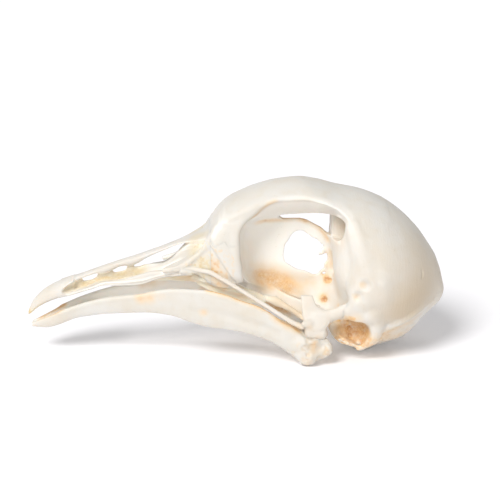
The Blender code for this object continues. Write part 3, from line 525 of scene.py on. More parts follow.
def bill_parts(b):

    def tip(x, y, z):
        q = x[:, 0, 0]
        w, top, low = (g(q)[:, None, None] for g in (TIP_WIDTH, BILL_TOP, TIP_LOW))
        mid = low + 0.35 * (top - low)
        half = np.where(z > mid, top - mid, mid - low)
        d = np.where(z > mid, oval(y, z - mid, w, half, 1.9), oval(y, z - mid, w, half, 2.8))
        return np.maximum(d, np.maximum(-28.2 - x, x + 22.3))
    b.add(([-28.2, 0, 4.8], [-22.3, 2, 10.2], tip))
    b.add(plate(-23.9, -4.7, flat(0), BILL_WIDTH, BILL_TOP, lambda q: BILL_TOP(q) - BILL_DEPTH(q), 2.3), k=0.25)
    b.cut(ball((-21.3, 1.75, 9.0), (2.6, 1.35, 0.78), (0, -20, 0)), k=0.15)
    b.add(plate(-24.2, -16.5, flat(0), BAR_SIDE, lambda q: BAR_LOW(q) + F(0.34), lambda q: BAR_LOW(q) - F(0.02), 4.0))
    b.add(plate(-24.2, -7.4, BAR_SIDE, BAR_THICK, BAR_TOP, BAR_LOW, 2.3), k=0.12)
    b.cut(ball((-17.0, 0, 9.1), (3.2, 1.0, 0.55), (0, -14, 0)), k=0.2)
    # nasal strut, its foot on the cheek and its root under the forehead
    b.add(tube([(-10.9, 3.2, 11.2, 0.3), (-9.6, 3.4, 11.45, 0.36), (-8.3, 3.65, 12.0, 0.34), (-7.1, 3.8, 13.0, 0.33), (-5.9, 3.95, 14.2, 0.38),
                (-5.1, 4.05, 15.3, 0.42), (-4.4, 4.0, 16.3, 0.5)]), k=0.45)
    b.add(tube([(-8.6, 3.75, 11.25, 0.4), (-7.0, 4.0, 11.35, 0.36), (-6.3, 4.25, 11.3, 0.3)]), k=0.3)
    # core of the nose behind the nostrils, floor of the nose, its front partition
    b.add(plate(-14.8, -4.9, flat(0), curve([(-14.8, 0.3), (-13.6, 0.5), (-12.0, 0.7), (-10.0, 0.9), (-9.0, 1.35), (-8.2, 2.1), (-7.0, 3.1), (-6.0, 3.5), (-4.9, 3.8)]),
                curve([(-14.8, 10.4), (-14.0, 10.85), (-13.2, 11.2), (-11.2, 11.3), (-10.2, 11.75), (-9.4, 12.5), (-8.9, 13.1), (-8.4, 13.6), (-7.9, 14.1), (-7.0, 14.75),
                       (-5.8, 15.3), (-4.9, 15.7)]), lambda q: BAR_LOW(q) + F(0.2), 2.8), k=0.5)
    b.add(plate(-20.5, -6.5, flat(0), lambda q: BAR_SIDE(q) - F(0.05), lambda q: BAR_LOW(q) + F(0.42), lambda q: BAR_LOW(q) + F(0.12), 5.0), k=0.12)
    b.add(plate(-23.9, -12.0, flat(0), curve([(-23.9, 0.3), (-21.0, 0.2), (-16.6, 0.18), (-12.0, 0.3)]), curve([(-23.9, 8.9), (-22.4, 9.6), (-21.5, 9.8), (-21.1, 9.15), (-20.3, 9.25), (-19.5, 9.6), (-19.2, 10.2), (-18.6, 10.6), (-17.6, 10.6),
                       (-17.15, 10.2), (-16.8, 10.25), (-15.8, 10.5), (-15.5, 11.0), (-14.9, 11.3), (-14.6, 10.9), (-13.4, 11.05), (-12.0, 11.15)]), lambda q: BAR_LOW(q) + F(0.15), 5.0), k=0.15)
    b.add(tube([(-10.4, 1.6, 11.0, 0.35), (-9.2, 2.2, 11.5, 0.55), (-7.8, 2.8, 12.1, 0.7)]), k=0.8)
    b.add(ball((-6.3, 2.6, 12.1), (1.5, 1.15, 1.7)), k=0.6)


LACRIMAL = upright(10.1, 17.2, curve([(10.1, -1.5), (10.4, -1.65), (11.0, -2.0), (12.0, -2.45), (12.7, -2.75), (13.5, -3.05), (14.85, -3.45), (16.0, -3.2), (17.2, -2.6)]),
                   curve([(10.1, 0.35), (10.4, 0.5), (11.0, 0.7), (12.0, 0.85), (12.7, 0.95), (13.5, 1.1), (14.85, 1.45), (16.0, 1.2), (17.2, 0.7)]),
                   curve([(9.7, 4.6), (11.0, 4.85), (13.5, 4.88), (15.0, 4.7), (16.0, 4.5), (17.2, 4.3)]), curve([(9.7, 0.25), (11.0, 0.34), (14.0, 0.4), (17.2, 0.45)]), 2.2, lean=0.06)


def lacrimal_region(x, y, z):
    """Inside the lacrimal bone's own part of the fused face."""
    edge = 14.6 + 0.25 * np.sin(3.1 * x) + 0.1 * np.sin(7.3 * x + 1.0)
    left, right = -4.95 + 0.66 * np.clip(14.75 - z, 0, 6), -1.45 + 0.12 * np.clip(12.0 - z, 0, 3) * 2.6
    return np.maximum(np.maximum(z - edge, 9.0 - z), np.maximum(np.maximum(left - x, x - right), 4.3 - y)) + 0 * y


# --------------------------------------------------------------- other bones
def mandible(b):
    # outer plates of both branches
    b.add(plate(-27.75, 6.0, JAW_SIDE, JAW_THICK, JAW_TOP, JAW_LOW, 2.4, lean=0.05))
    b.add(tube([(x, float(JAW_SIDE(x)) + 0.06, float(JAW_TOP(x)) - 0.3, 0.3) for x in np.linspace(-24, 3, 24)], per=2), k=0.25)
    b.add(plate(-27.7, -19.4, flat(0), JAW_SIDE, lambda q: JAW_LOW(q) + F(0.5) + F(0.022) * (np.asarray(q, F) + F(27.5)), lambda q: JAW_LOW(q) + F(0.02), 3.0), k=0.2)
    b.cut(tube([(-8.0, 5.6, 6.6, 0.1), (-4.0, 6.75, 6.3, 0.36), (0.0, 7.65, 5.3, 0.4), (3.0, 8.4, 4.3, 0.2)]), k=0.7)
    # shelf inside the upper edge, before the joint
    b.add(tube([(-4.5, 5.35, 7.9, 0.25), (-1.5, 5.85, 7.0, 0.35), (1.5, 6.35, 5.9, 0.42), (4.0, 6.7, 4.9, 0.5), (6.0, 7.1, 4.0, 0.5)]), k=0.4)
    # joint: knob, heel, lobe behind, inner process, dish in the outer face
    b.add(ball((6.8, 7.75, 1.45), (1.4, 1.35, 1.43)), k=0.8)
    b.add(ball((6.5, 7.95, 3.05), (1.7, 1.15, 1.0)), k=0.6)
    b.add(ball((9.12, 7.8, 2.15), (0.76, 0.85, 0.92)), k=0.4)
    b.add(ball((8.3, 7.7, 1.75), (1.1, 0.95, 0.9)), k=0.5)
    b.add(tube([(7.6, 7.7, 2.9, 0.8), (8.9, 7.6, 3.0, 0.5)]), k=0.3)
    b.add(tube([(7.0, 7.2, 2.7, 1.0), (7.4, 6.1, 2.9, 0.72), (7.9, 5.1, 3.2, 0.42)]), k=0.5)
    b.cut(ball((7.5, 8.3, 4.6), (1.6, 1.0, 1.0)), k=0.25)
    b.cut(ball((7.9, 6.4, 4.5), (1.3, 1.0, 1.1)), k=0.3)
    b.cut(ball((7.3, 9.8, 2.75), (1.05, 0.95, 0.62), (0, 10, 0)), k=0.45)
    b.cut(tube([(8.3, 9.1, 3.3, 0.12), (8.25, 9.1, 2.4, 0.14), (8.4, 8.9, 1.5, 0.1)]), k=0.4)
    b.erode(ball((7.4, 8.4, 1.9), (2.6, 1.9, 2.2)), 0.6, 0.1, 61, -0.1)
    b.cut(([-99, -99, -9], [99, 99, 0.01], lambda x, y, z: z - 0.01 + 0 * x + 0 * y), k=0.1)


def quadrate(b):
    # plate with the square-ended orbital process above and the joint below, leaning inwards
    b.add(upright(3.4, 8.42, curve([(3.4, 7.65), (4.6, 7.64), (5.1, 7.75), (5.6, 7.85), (6.2, 7.7), (6.64, 7.6), (6.9, 7.35), (7.4, 6.95), (8.07, 6.8), (8.42, 6.75)]),
                  curve([(3.4, 1.15), (3.8, 1.3), (4.6, 1.36), (5.1, 1.5), (5.6, 1.65), (6.2, 1.6), (6.64, 1.5), (6.9, 1.27), (7.4, 0.95), (8.07, 0.78), (8.42, 0.72)]),
                  curve([(3.4, 7.35), (4.6, 7.4), (5.6, 7.25), (6.64, 6.75), (7.4, 6.25), (8.42, 5.7)]),
                  curve([(3.4, 0.7), (3.9, 0.85), (4.6, 0.8), (5.6, 0.66), (6.64, 0.5), (7.4, 0.36), (8.42, 0.28)]), 3.6, lean=0.08))
    b.add(tube([(8.2, 7.0, 5.95, 0.9), (9.9, 7.2, 6.3, 0.78), (11.3, 7.55, 7.05, 0.7), (11.9, 7.7, 7.55, 0.54), (12.3, 7.8, 7.95, 0.34), (12.5, 7.8, 8.15, 0.14)], flat=((0, 1, 0), 1.5)), k=0.6)
    # knobs of the jaw joint, inner and hind, and the cup for the jugal
    b.add(ball((7.9, 6.4, 4.2), (0.95, 0.8, 0.65)), k=0.4)
    b.add(ball((8.6, 7.3, 4.0), (0.7, 0.75, 0.6)), k=0.4)
    b.add(tube([(6.9, 7.75, 5.35, 0.4), (6.3, 7.85, 5.3, 0.4)]), k=0.4)
    b.cut(tube([(6.6, 8.3, 4.7, 0.08), (7.9, 8.42, 4.45, 0.12), (8.9, 8.2, 4.8, 0.08)]), k=0.3)


def jugal(b):
    b.add(tube([(-9.6, 3.55, 11.4, 0.3), (-7.6, 3.98, 11.55, 0.32), (-5.7, 4.6, 11.42, 0.31), (-3.6, 5.25, 10.5, 0.29), (-1.2, 5.98, 9.15, 0.28),
                (1.2, 6.7, 7.75, 0.28), (3.6, 7.4, 6.3, 0.28), (5.3, 7.82, 5.35, 0.31), (6.0, 7.95, 5.1, 0.36)], flat=((0, 1, 0.2), 1.15)))


def pterygoid(b):
    b.add(tube([(2.0, 1.2, 6.85, 0.36), (3.6, 2.0, 6.4, 0.42), (5.4, 3.4, 5.7, 0.3), (6.6, 4.6, 5.1, 0.34), (7.3, 5.2, 4.8, 0.45)]))
    b.add(ball((3.3, 1.75, 6.55), (1.0, 0.5, 0.55), (0, 20, 40)), k=0.3)


def palatine(b):
    b.add(plate(-15.9, 1.9, PALATE_SIDE, PALATE_THICK, PALATE_TOP, PALATE_LOW, 2.2, lean=0.2))
    b.add(tube([(-16.6, 1.5, 9.5, 0.2), (-15.0, 1.3, 9.6, 0.3), (-12.5, 1.5, 9.9, 0.3)]), k=0.3)
    b.add(tube([(-7.0, 2.6, 10.2, 0.35), (-4.5, 3.2, 9.4, 0.4), (-2.0, 2.9, 8.5, 0.4), (0.2, 2.0, 7.6, 0.36)]), k=0.4)
    b.add(tube([(-6.5, 2.1, 9.2, 0.28), (-3.5, 2.4, 7.9, 0.3), (-0.5, 2.0, 6.8, 0.3), (1.6, 1.2, 6.5, 0.3)]), k=0.3)
    b.cut(ball((-4.4, 3.1, 8.7), (1.6, 0.55, 0.45), (0, 30, 0)), k=0.3)
    b.cut(ball((-1.3, 2.8, 7.6), (1.4, 0.5, 0.35), (0, 25, 0)), k=0.3)


# ------------------------------------------------------------------- surfacing
def blobs(p, rows):
    """Sum of soft spots (x, distance from midline, z, radius, strength)."""
    out = np.zeros(len(p))
    for x, y, z, r, s in rows:
        out += s * np.exp(-((p[:, 0] - x) ** 2 + (np.abs(p[:, 1]) - y) ** 2 + (p[:, 2] - z) ** 2) / (r * r))
    return out


def trail(points, radius, strength, count=10):
    """Soft spots along a line."""
    p = np.array(points, float)
    key = np.concatenate([[0], np.cumsum(np.linalg.norm(np.diff(p, axis=0), axis=1))])
    s = np.linspace(0, key[-1], count)
    return [(*(float(np.interp(v, key, p[:, i])) for i in range(3)), radius, strength) for v in s]


def in_orbit(p, n):
    """Mask for painted light, which lifts the shade inside the orbits: 1 inside the orbits, 0 outside their rims."""
    y = np.abs(p[:, 1])
    angle, far = polar(p[:, 0], p[:, 2], ORBIT_X, ORBIT_Z)
    rim, out = ORBIT_RIM(angle), ORBIT_OUT(angle)
    deep = np.clip((out - 0.35 - y) / 0.9, 0, 1) * np.clip((rim + 0.3 - far) / 0.5, 0, 1)
    hold = np.clip((5.9 - y) / 0.4, 0, 1) * np.clip((p[:, 0] - 10.3) / 0.3, 0, 1) * (p[:, 0] < 15) * np.clip((p[:, 2] - 14.7) / 0.4, 0, 1) * (p[:, 2] < 18.6)
    # less painted light on the tan floor of the orbit, which starts behind its front corner
    floor = np.clip((p[:, 0] - 0.2) / 1.4, 0, 1) * np.clip((11.4 - p[:, 2]) / 2.4, 0, 1)
    return 0.9 * hold + deep * (1 - hold) * (0.95 - 0.7 * np.clip((p[:, 0] - 8.2) / 1.8, 0, 1)) * (1 - 0.85 * floor)


def inward(p, n):
    """Mask for painted light on inner faces, which lie in shade: 1 where a face looks at the midline."""
    return np.clip(-n[:, 1] * np.sign(p[:, 1]) * 1.6 - 0.3, 0, 1)


def make(name, b, body="root", stands_for=(), material=None, spots=(), sponges=(), flip=False, rough=0.02, painted_light=None):
    p, tris, quads = b.mesh()
    n = b.slope(p)
    n /= np.maximum(np.linalg.norm(n, axis=1), 1e-6)[:, None]
    # keep the largest connected surface
    edges = np.concatenate([quads[:, [i, (i + 1) % 4]] for i in range(4)] + [tris[:, [i, (i + 1) % 3]] for i in range(3)])
    label = np.arange(len(p))
    while True:
        m = np.minimum(label[edges[:, 0]], label[edges[:, 1]])
        new = label.copy()
        np.minimum.at(new, edges[:, 0], m)
        np.minimum.at(new, edges[:, 1], m)
        new = new[new]
        if (new == label).all():
            break
        label = new
    main = np.bincount(label, minlength=len(p)).argmax()
    keep = label == main
    index = np.cumsum(keep) - 1
    quads, tris = quads[keep[quads[:, 0]]], tris[keep[tris[:, 0]]]
    quads, tris, p, n = index[quads], index[tris], p[keep], n[keep]
    # how enclosed the bone is at each point, which sets painted light and painted shade in the hollows
    shut = np.zeros(len(p))
    for d, w in ((0.35, 0.3), (0.8, 0.3), (1.5, 0.25), (2.6, 0.15)):
        shut += w * np.clip(1 - b.sample(p + d * n) / d, 0, 1.5)
    sharp = b.sample(p - 0.25 * n) + 0.25
    pit, stain_and_shade = np.zeros(len(p)), blobs(p, spots)
    for x, y, z, radius, size, seed, strength in sponges:
        near = np.exp(-((p[:, 0] - x) ** 2 + (np.abs(p[:, 1]) - y) ** 2 + (p[:, 2] - z) ** 2) / (radius * radius)) > 0.12
        q = p[near].copy()
        q[:, 1] = np.abs(q[:, 1]) if b.fold else q[:, 1]
        pit[near] = np.maximum(pit[near], np.clip(sponge(q, size, seed) * 2.0, 0, 1) * strength)
    stain_and_shade = np.clip(stain_and_shade + pit, -1, 1.5)
    # painted light: faces in the mask are painted paler, lifting their shade
    pale = painted_light(p, n) if painted_light else np.zeros(len(p))
    relief = rough * (noise(p, 1.7, 3) + 0.5 * noise(p, 0.8, 5))
    p = p + relief[:, None] * n
    if flip:
        p = p * (1, -1, 1)

    me = bpy.data.meshes.new(name)
    me.vertices.add(len(p))
    world = (p + (CENTRE_X, 0, 0)) * MM
    world[:, 2] = np.maximum(world[:, 2], 0.0)
    me.vertices.foreach_set("co", world.astype(F).ravel())
    # outward orientation from the signed volume
    a, q, c = (world[quads[:, i]] for i in (0, 1, 2))
    volume = np.einsum("ij,ij->i", a, np.cross(q, c)).sum() if len(quads) else 1.0
    if volume < 0:
        quads, tris = quads[:, ::-1], tris[:, ::-1]
    corners = np.concatenate([quads.ravel(), tris.ravel()])
    sizes = np.concatenate([np.full(len(quads), 4), np.full(len(tris), 3)])
    me.loops.add(len(corners))
    me.loops.foreach_set("vertex_index", corners.astype(np.int32))
    me.polygons.add(len(sizes))
    me.polygons.foreach_set("loop_start", np.concatenate([[0], np.cumsum(sizes)[:-1]]).astype(np.int32))
    me.update(calc_edges=True)
    me.validate()
    me.shade_smooth()
    for key, value in (("cavity", np.clip(shut, 0, 1)), ("stain_and_shade", stain_and_shade), ("pale", pale), ("ridge", np.clip(sharp * 4, 0, 1))):
        me.attributes.new(key, "FLOAT", "POINT").data.foreach_set("value", value.astype(F))
    ob = bpy.data.objects.new(name, me)
    bpy.context.scene.collection.objects.link(ob)
    ob.data.materials.append(material)
    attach(ob, body)
    if stands_for:
        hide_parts(*stands_for)
    print("piece", name, len(p), "points", len(quads) * 2 + len(tris), "triangles")
    return ob


# ------------------------------------------------------------------- materials
def bone_material(name, base=(0.675, 0.643, 0.592), tan=(0.74, 0.56, 0.34), deep=(0.58, 0.27, 0.07), amber=(0.80, 0.55, 0.27), grain=1.0, hollow=1.0, streaks=0.0):
    """Dry bone: ivory, with painted shade (tan) and painted light in the hollows, orange where marrow stained it, and
    painted shade where the stain value is negative.
    """
    mat = bpy.data.materials.new(name)
    mat.use_nodes = True
    tree = mat.node_tree
    nodes, links = tree.nodes, tree.links
    shader = nodes["Principled BSDF"]

    def node(kind, **values):
        made = nodes.new(kind)
        for key, value in values.items():
            if hasattr(made, key):
                setattr(made, key, value)
            else:
                made.inputs[key.replace("_", " ")].default_value = value
        return made

    def wire(source, target):
        links.new(source, target)

    place = node("ShaderNodeTexCoord").outputs["Object"]

    def noise_map(scale, detail=3.0, rough=0.55, stretch=None):
        source = place
        if stretch:
            m = node("ShaderNodeMapping")
            m.inputs["Scale"].default_value = stretch
            wire(place, m.inputs["Vector"])
            source = m.outputs["Vector"]
        n = node("ShaderNodeTexNoise", Scale=scale, Detail=detail, Roughness=rough)
        wire(source, n.inputs["Vector"])
        return n.outputs["Fac"]

    def ramp(source, low, high, out_low=0.0, out_high=1.0):
        r = node("ShaderNodeMapRange")
        r.clamp = True
        wire(source, r.inputs["Value"])
        for key, value in (("From Min", low), ("From Max", high), ("To Min", out_low), ("To Max", out_high)):
            r.inputs[key].default_value = value
        return r.outputs["Result"]

    def sums(kind, a, b):
        m = node("ShaderNodeMath", operation=kind)
        for i, v in enumerate((a, b)):
            if isinstance(v, (int, float)):
                m.inputs[i].default_value = v
            else:
                wire(v, m.inputs[i])
        return m.outputs["Value"]

    def mix(factor, a, b):
        m = node("ShaderNodeMix", data_type="RGBA")
        wire(factor, m.inputs[0])
        for i, v in ((6, a), (7, b)):
            if isinstance(v, tuple):
                m.inputs[i].default_value = (*v, 1.0)
            else:
                wire(v, m.inputs[i])
        return m.outputs[2]

    def attribute(key):
        return node("ShaderNodeAttribute", attribute_name=key).outputs["Fac"]

    cavity, stain_and_shade, painted_light, ridge = (attribute(k) for k in ("cavity", "stain_and_shade", "pale", "ridge"))
    broad, middle, small = noise_map(230.0, 3.0), noise_map(900.0, 4.0), noise_map(4200.0, 3.0, 0.6)
    warm = tuple(c * k for c, k in zip(base, (1.0, 0.975, 0.925)))
    pale = tuple(min(c * k, 0.95) for c, k in zip(base, (1.03, 1.045, 1.06)))
    colour = mix(ramp(broad, 0.35, 0.68), pale, warm)
    colour = mix(ramp(middle, 0.52, 0.78, 0.0, 0.35), colour, tuple(c * k for c, k in zip(base, (0.96, 0.91, 0.82))))
    # painted light: enclosed places and the faces in the painted-light mask are painted near white, lifting their
    # shade; the deepest hollows get painted shade, a tan film broken up by noise
    colour = mix(sums("MAXIMUM", ramp(cavity, 0.28, 0.66, 0.0, 0.92), ramp(painted_light, 0.0, 1.0, 0.0, 0.92)), colour, (0.94, 0.915, 0.86))
    painted_shade = sums("MULTIPLY", ramp(cavity, 0.50, 1.0, 0.0, 0.26 * hollow), ramp(middle, 0.28, 0.62, 0.45, 1.0))
    colour = mix(painted_shade, colour, tan)
    # darker tan where the stain value is negative: painted shade on the pterygoids, and on the back of the braincase,
    # where it is partly the bone's own darker tone
    colour = mix(ramp(stain_and_shade, 0.0, -0.5, 0.0, 0.9), colour, (0.60, 0.495, 0.36))
    # marrow stains, and orange-brown painted shade where spots stand for shade
    spot = sums("MULTIPLY", ramp(stain_and_shade, 0.05, 0.75), ramp(middle, 0.32, 0.60, 0.55, 1.0))
    colour = mix(ramp(spot, 0.0, 1.0, 0.0, 0.85), colour, amber)
    # deep brown where the value is high: deep stains, and the painted shadow at the bill tip
    dark = sums("MULTIPLY", ramp(stain_and_shade, 0.45, 1.25), ramp(small, 0.36, 0.62, 0.25, 1.0))
    colour = mix(ramp(dark, 0.0, 1.0, 0.0, 0.9), colour, deep)
    # thin edges and ridges painted paler: partly bleached bone, partly a painted highlight
    colour = mix(ramp(ridge, 0.25, 0.9, 0.0, 0.55), colour, pale)
    # fine dark pores
    pores = node("ShaderNodeTexVoronoi", Scale=2100.0)
    wire(place, pores.inputs["Vector"])
    pore = sums("MULTIPLY", ramp(pores.outputs["Distance"], 0.0, 0.20, 1.0, 0.0), ramp(middle, 0.50, 0.70))
    colour = mix(ramp(pore, 0.0, 1.0, 0.0, 0.35 * grain), colour, tuple(c * 0.6 for c in tan))
    wire(colour, shader.inputs["Base Color"])
    wire(ramp(sums("ADD", middle, small), 0.7, 1.3, 0.62, 0.44), shader.inputs["Roughness"])
    shader.inputs["Specular IOR Level"].default_value = 0.42
    shader.inputs["Subsurface Weight"].default_value = 0.6
    shader.inputs["Subsurface Radius"].default_value = (1.0, 0.86, 0.74)
    shader.inputs["Subsurface Scale"].default_value = 0.0006

    height = sums("ADD", sums("MULTIPLY", small, 0.35 * grain), sums("MULTIPLY", middle, 0.8 * grain))
    height = sums("SUBTRACT", height, sums("MULTIPLY", pore, 0.8 * grain))
    if streaks:
        lines = noise_map(1500.0, 3.0, 0.6, (3.0, 1.0, 0.32))
        height = sums("ADD", height, sums("MULTIPLY", lines, streaks))
    bump = node("ShaderNodeBump")
    bump.inputs["Strength"].default_value = 0.55
    bump.inputs["Distance"].default_value = 0.00005
    wire(height, bump.inputs["Height"])
    wire(bump.outputs["Normal"], shader.inputs["Normal"])
    return mat


cranium_bone = bone_material("cranium_bone", streaks=1.0)
bill_bone = bone_material("bill_bone", base=(0.66, 0.63, 0.585), amber=(0.72, 0.60, 0.36), deep=(0.50, 0.34, 0.14), hollow=0.9)
jaw_bone = bone_material("jaw_bone", base=(0.65, 0.62, 0.57), hollow=1.0)
small_bone = bone_material("small_bone", base=(0.665, 0.62, 0.56), hollow=0.7)
# painted light: a paler copy of the bone for the palatines and pterygoids, which lie in shade
palate_bone = bone_material("palate_bone", base=(0.92, 0.85, 0.72), tan=(0.74, 0.54, 0.30), hollow=0.8)

# ---------------------------------------------------------------------- pieces
# Where the bone is stained or painted with shade: x, distance from midline, z, radius, strength; a negative strength is
# painted shade.
HEAD_STAINS_AND_SHADE = [(2.6, 0.4, 9.1, 1.7, 0.78), (0.8, 0.5, 9.5, 1.3, 0.5), (4.6, 0.4, 8.5, 1.5, 0.62), (5.6, 0.4, 7.4, 1.4, 0.4), (7.5, 0.4, 8.8, 1.2, 0.28),
               (5.0, 2.3, 5.6, 0.9, 0.6), (3.5, 1.5, 6.3, 0.8, 0.5), (6.5, 3.3, 5.0, 0.9, 0.6), (11.4, 4.2, 6.5, 0.3, 0.9), (10.72, 4.3, 6.6, 0.28, 0.9), (9.6, 2.6, 8.6, 2.6, 0.2), (12.1, 5.9, 3.9, 2.5, 0.9), (14.0, 5.8, 4.0, 1.3, 0.5), (13.4, 6.0, 2.3, 0.7, 0.5), (11.6, 3.5, 16.8, 1.8, 0.3), (9.36, 1.6, 6.7, 0.62, 1.5), (11.1, 2.9, 6.15, 0.4, 0.7),
               (10.2, 0.9, 11.0, 0.9, 0.6), (10.0, 0.8, 12.4, 0.7, 0.45), (9.9, 0.6, 8.95, 0.55, 1.3), (9.4, 0.4, 9.7, 0.4, 0.6),
               (-6.6, 1.6, 14.6, 1.2, 0.7), (-0.4, 1.8, 12.6, 2.3, 0.22), (12.4, 4.5, 15.4, 2.4, 0.26), (12.6, 2.0, 16.6, 2.4, 0.26),
               (19.0, 4.6, 2.8, 2.6, 0.35), (16.6, 6.2, 2.6, 1.8, 0.45), (14.6, 6.6, 2.2, 0.8, 0.3), (13.2, 6.5, 3.0, 0.8, 0.2),
               (13.3, 9.2, 10.75, 0.55, 0.5), (12.55, 8.8, 9.1, 0.5, 0.55), (12.8, 7.9, 6.4, 1.1, 0.3), (22.0, 2.5, 9.0, 5.5, -0.16), (21.6, 6.2, 10.5, 4.2, -0.24), (18.4, 7.8, 6.8, 3.6, -0.46), (17.5, 8.0, 13.0, 4.0, -0.12),
               (-4.8, 4.3, 11.5, 1.5, 0.4), (-5.4, 4.1, 12.8, 1.2, 0.35), (-3.9, 4.6, 10.3, 1.0, 0.25)]
# painted shade: an orange line just inside the upper front rim of each orbit, where the rim shades it
HEAD_STAINS_AND_SHADE += [(ORBIT_X + (float(ORBIT_RIM(a)) - 0.25) * math.cos(math.radians(a)), float(ORBIT_OUT(a)) - 0.35,
                 ORBIT_Z + (float(ORBIT_RIM(a)) - 0.25) * math.sin(math.radians(a)), 0.4, 0.3) for a in range(108, 142, 3)]
HEAD_STAINS_AND_SHADE += trail([(-0.75, 2.5, 16.05), (-0.3, 1.4, 15.85), (0.75, 0.75, 16.3), (1.8, 0.5, 16.85), (3.9, 0.2, 16.9), (5.95, 0.2, 16.98), (7.0, 0.2, 16.8)], 0.34, 0.42, 24)
HEAD_STAINS_AND_SHADE += trail([(7.0, 0.2, 16.8), (7.9, 0.2, 16.4), (8.9, 0.3, 15.8), (9.6, 0.5, 15.0), (9.9, 0.7, 14.2)], 0.42, 0.4, 10)
HEAD_STAINS_AND_SHADE += trail([(15.4, 7.5, 3.6), (17.8, 7.3, 4.4), (19.6, 6.4, 5.2), (21.4, 5.4, 6.2)], 1.0, 0.3, 8)
HEAD_SPONGES = [(-4.9, 3.9, 11.9, 2.3, 0.36, 31, 0.34), (12.1, 6.2, 4.0, 2.2, 0.75, 41, 0.42), (17.2, 5.6, 2.9, 2.6, 0.5, 51, 0.12)]

low, high = (-6.6, 0, 0), (25.2, 10.1, 22.6)
skull = Bone(low, high, 0.125, fold=True)
fused_skull(skull)
x, y, z = (a for a in skull.axes)
region = lacrimal_region(x[:, None, None], y[None, :, None], z[None, None, :]).astype(F)
whole = skull.d
skull.d = np.maximum(np.maximum(whole, -region), (SPLIT_X - x)[:, None, None])
make("cranium", skull, stands_for=("cranium",), material=cranium_bone, spots=HEAD_STAINS_AND_SHADE, sponges=HEAD_SPONGES, painted_light=in_orbit)

part = Bone((-6.2, 3.6, 8.3), (-0.2, 6.2, 16.2), 0.09)
fused_skull(part)
x, y, z = (a for a in part.axes)
region = lacrimal_region(x[:, None, None], y[None, :, None], z[None, None, :]).astype(F)
part.d = np.maximum(part.d - 0.035 + np.clip((region - 0.2) * 0.4, 0, 0.1), region - 0.4)
for side in ("right", "left"):
    make("lacrimal_" + side, part, stands_for=("lacrimal_" + side,), material=cranium_bone,
         spots=HEAD_STAINS_AND_SHADE, sponges=HEAD_SPONGES, flip=side == "left", painted_light=in_orbit)

bill = Bone((-28.6, 0, 4.5), (-4.6, 5.0, 17.4), 0.09, fold=True)
fused_skull(bill)
x = bill.axes[0][:, None, None]
bill.d = np.maximum(bill.d - np.clip((x - SPLIT_X + 0.3) * 0.1, 0, 0.03) + np.clip((x - SPLIT_X - 0.2) * 0.4, 0, 0.1), x - (SPLIT_X + 0.5))
# painted shadow at the bill tip and along its cutting edge (the spot at x -28.15 and the last trail); the olive along
# the nose floor inside the nostrils is partly stain and partly painted shade
make("upper_bill", bill, stands_for=("upper_bill",), material=bill_bone, sponges=HEAD_SPONGES[:1], painted_light=inward,
     spots=trail([(-23.0, 0, 8.3), (-21.0, 0, 8.7), (-19.2, 0, 9.2), (-17.4, 0, 9.6), (-15.6, 0, 10.0), (-13.4, 0, 10.6)], 0.95, 0.4, 12) + [ (-6.6, 1.6, 14.6, 1.2, 0.5), (-6.9, 3.0, 13.6, 1.2, 0.4), (-6.2, 3.9, 12.2, 1.2, 0.4), (-6.0, 3.9, 11.2, 1.0, 0.35), (-5.6, 2.6, 15.2, 0.8, 0.5),
            (-23.2, 1.2, 8.5, 0.7, 0.45), (-28.15, 0.0, 5.1, 0.5, 2.4)] + trail([(-27.6, 0.4, 5.5), (-26.6, 0.9, 6.15), (-25.4, 1.3, 6.65)], 0.28, 0.45, 8))

jaw = Bone((-28.0, 0, -0.3), (10.6, 10.0, 9.8), 0.105, fold=True)
mandible(jaw)
# painted shade: brown on the jaw where it lies in shade in the slit under the jugal (the spots at x 3.6 and 5.2, and
# the last trail); the other spots are stains
make("mandible", jaw, stands_for=("mandible",), material=jaw_bone, painted_light=inward, sponges=[(7.4, 8.6, 1.9, 1.9, 0.6, 61, 0.22)],
     spots=[(-13.9, 3.3, 7.7, 0.7, 0.65), (-12.6, 3.6, 7.9, 0.8, 0.6), (-11.2, 3.9, 8.1, 0.7, 0.25), (-6.0, 5.2, 6.5, 0.6, 0.75), (7.4, 8.9, 2.6, 0.8, 0.6), (6.6, 9.0, 0.7, 1.0, 0.25), (3.6, 6.6, 5.6, 1.0, 0.5), (5.2, 7.0, 4.8, 1.0, 0.5),
            (9.0, 8.4, 2.0, 0.7, 0.25), (7.6, 9.0, 3.5, 0.4, 0.5)]
     + trail([(-26.9, 0.2, 4.4), (-25.8, 0.6, 4.95), (-24.6, 1.0, 5.5), (-23.8, 1.2, 5.8)], 0.42, 0.75, 9)
     + trail([(x, float(JAW_SIDE(x)) - 0.05, float(JAW_TOP(x)) - 0.02) for x in (-5.6, -3.6, -1.6, 0.4, 2.2)], 0.36, 0.85, 22)
     + trail([(2.4, 7.4, 6.2), (4.2, 7.7, 5.1), (5.6, 7.9, 4.4)], 0.45, 0.5, 8)
     + trail([(2.6, 6.1, 3.9), (6.2, 7.3, 2.7)], 0.9, 0.5, 6))

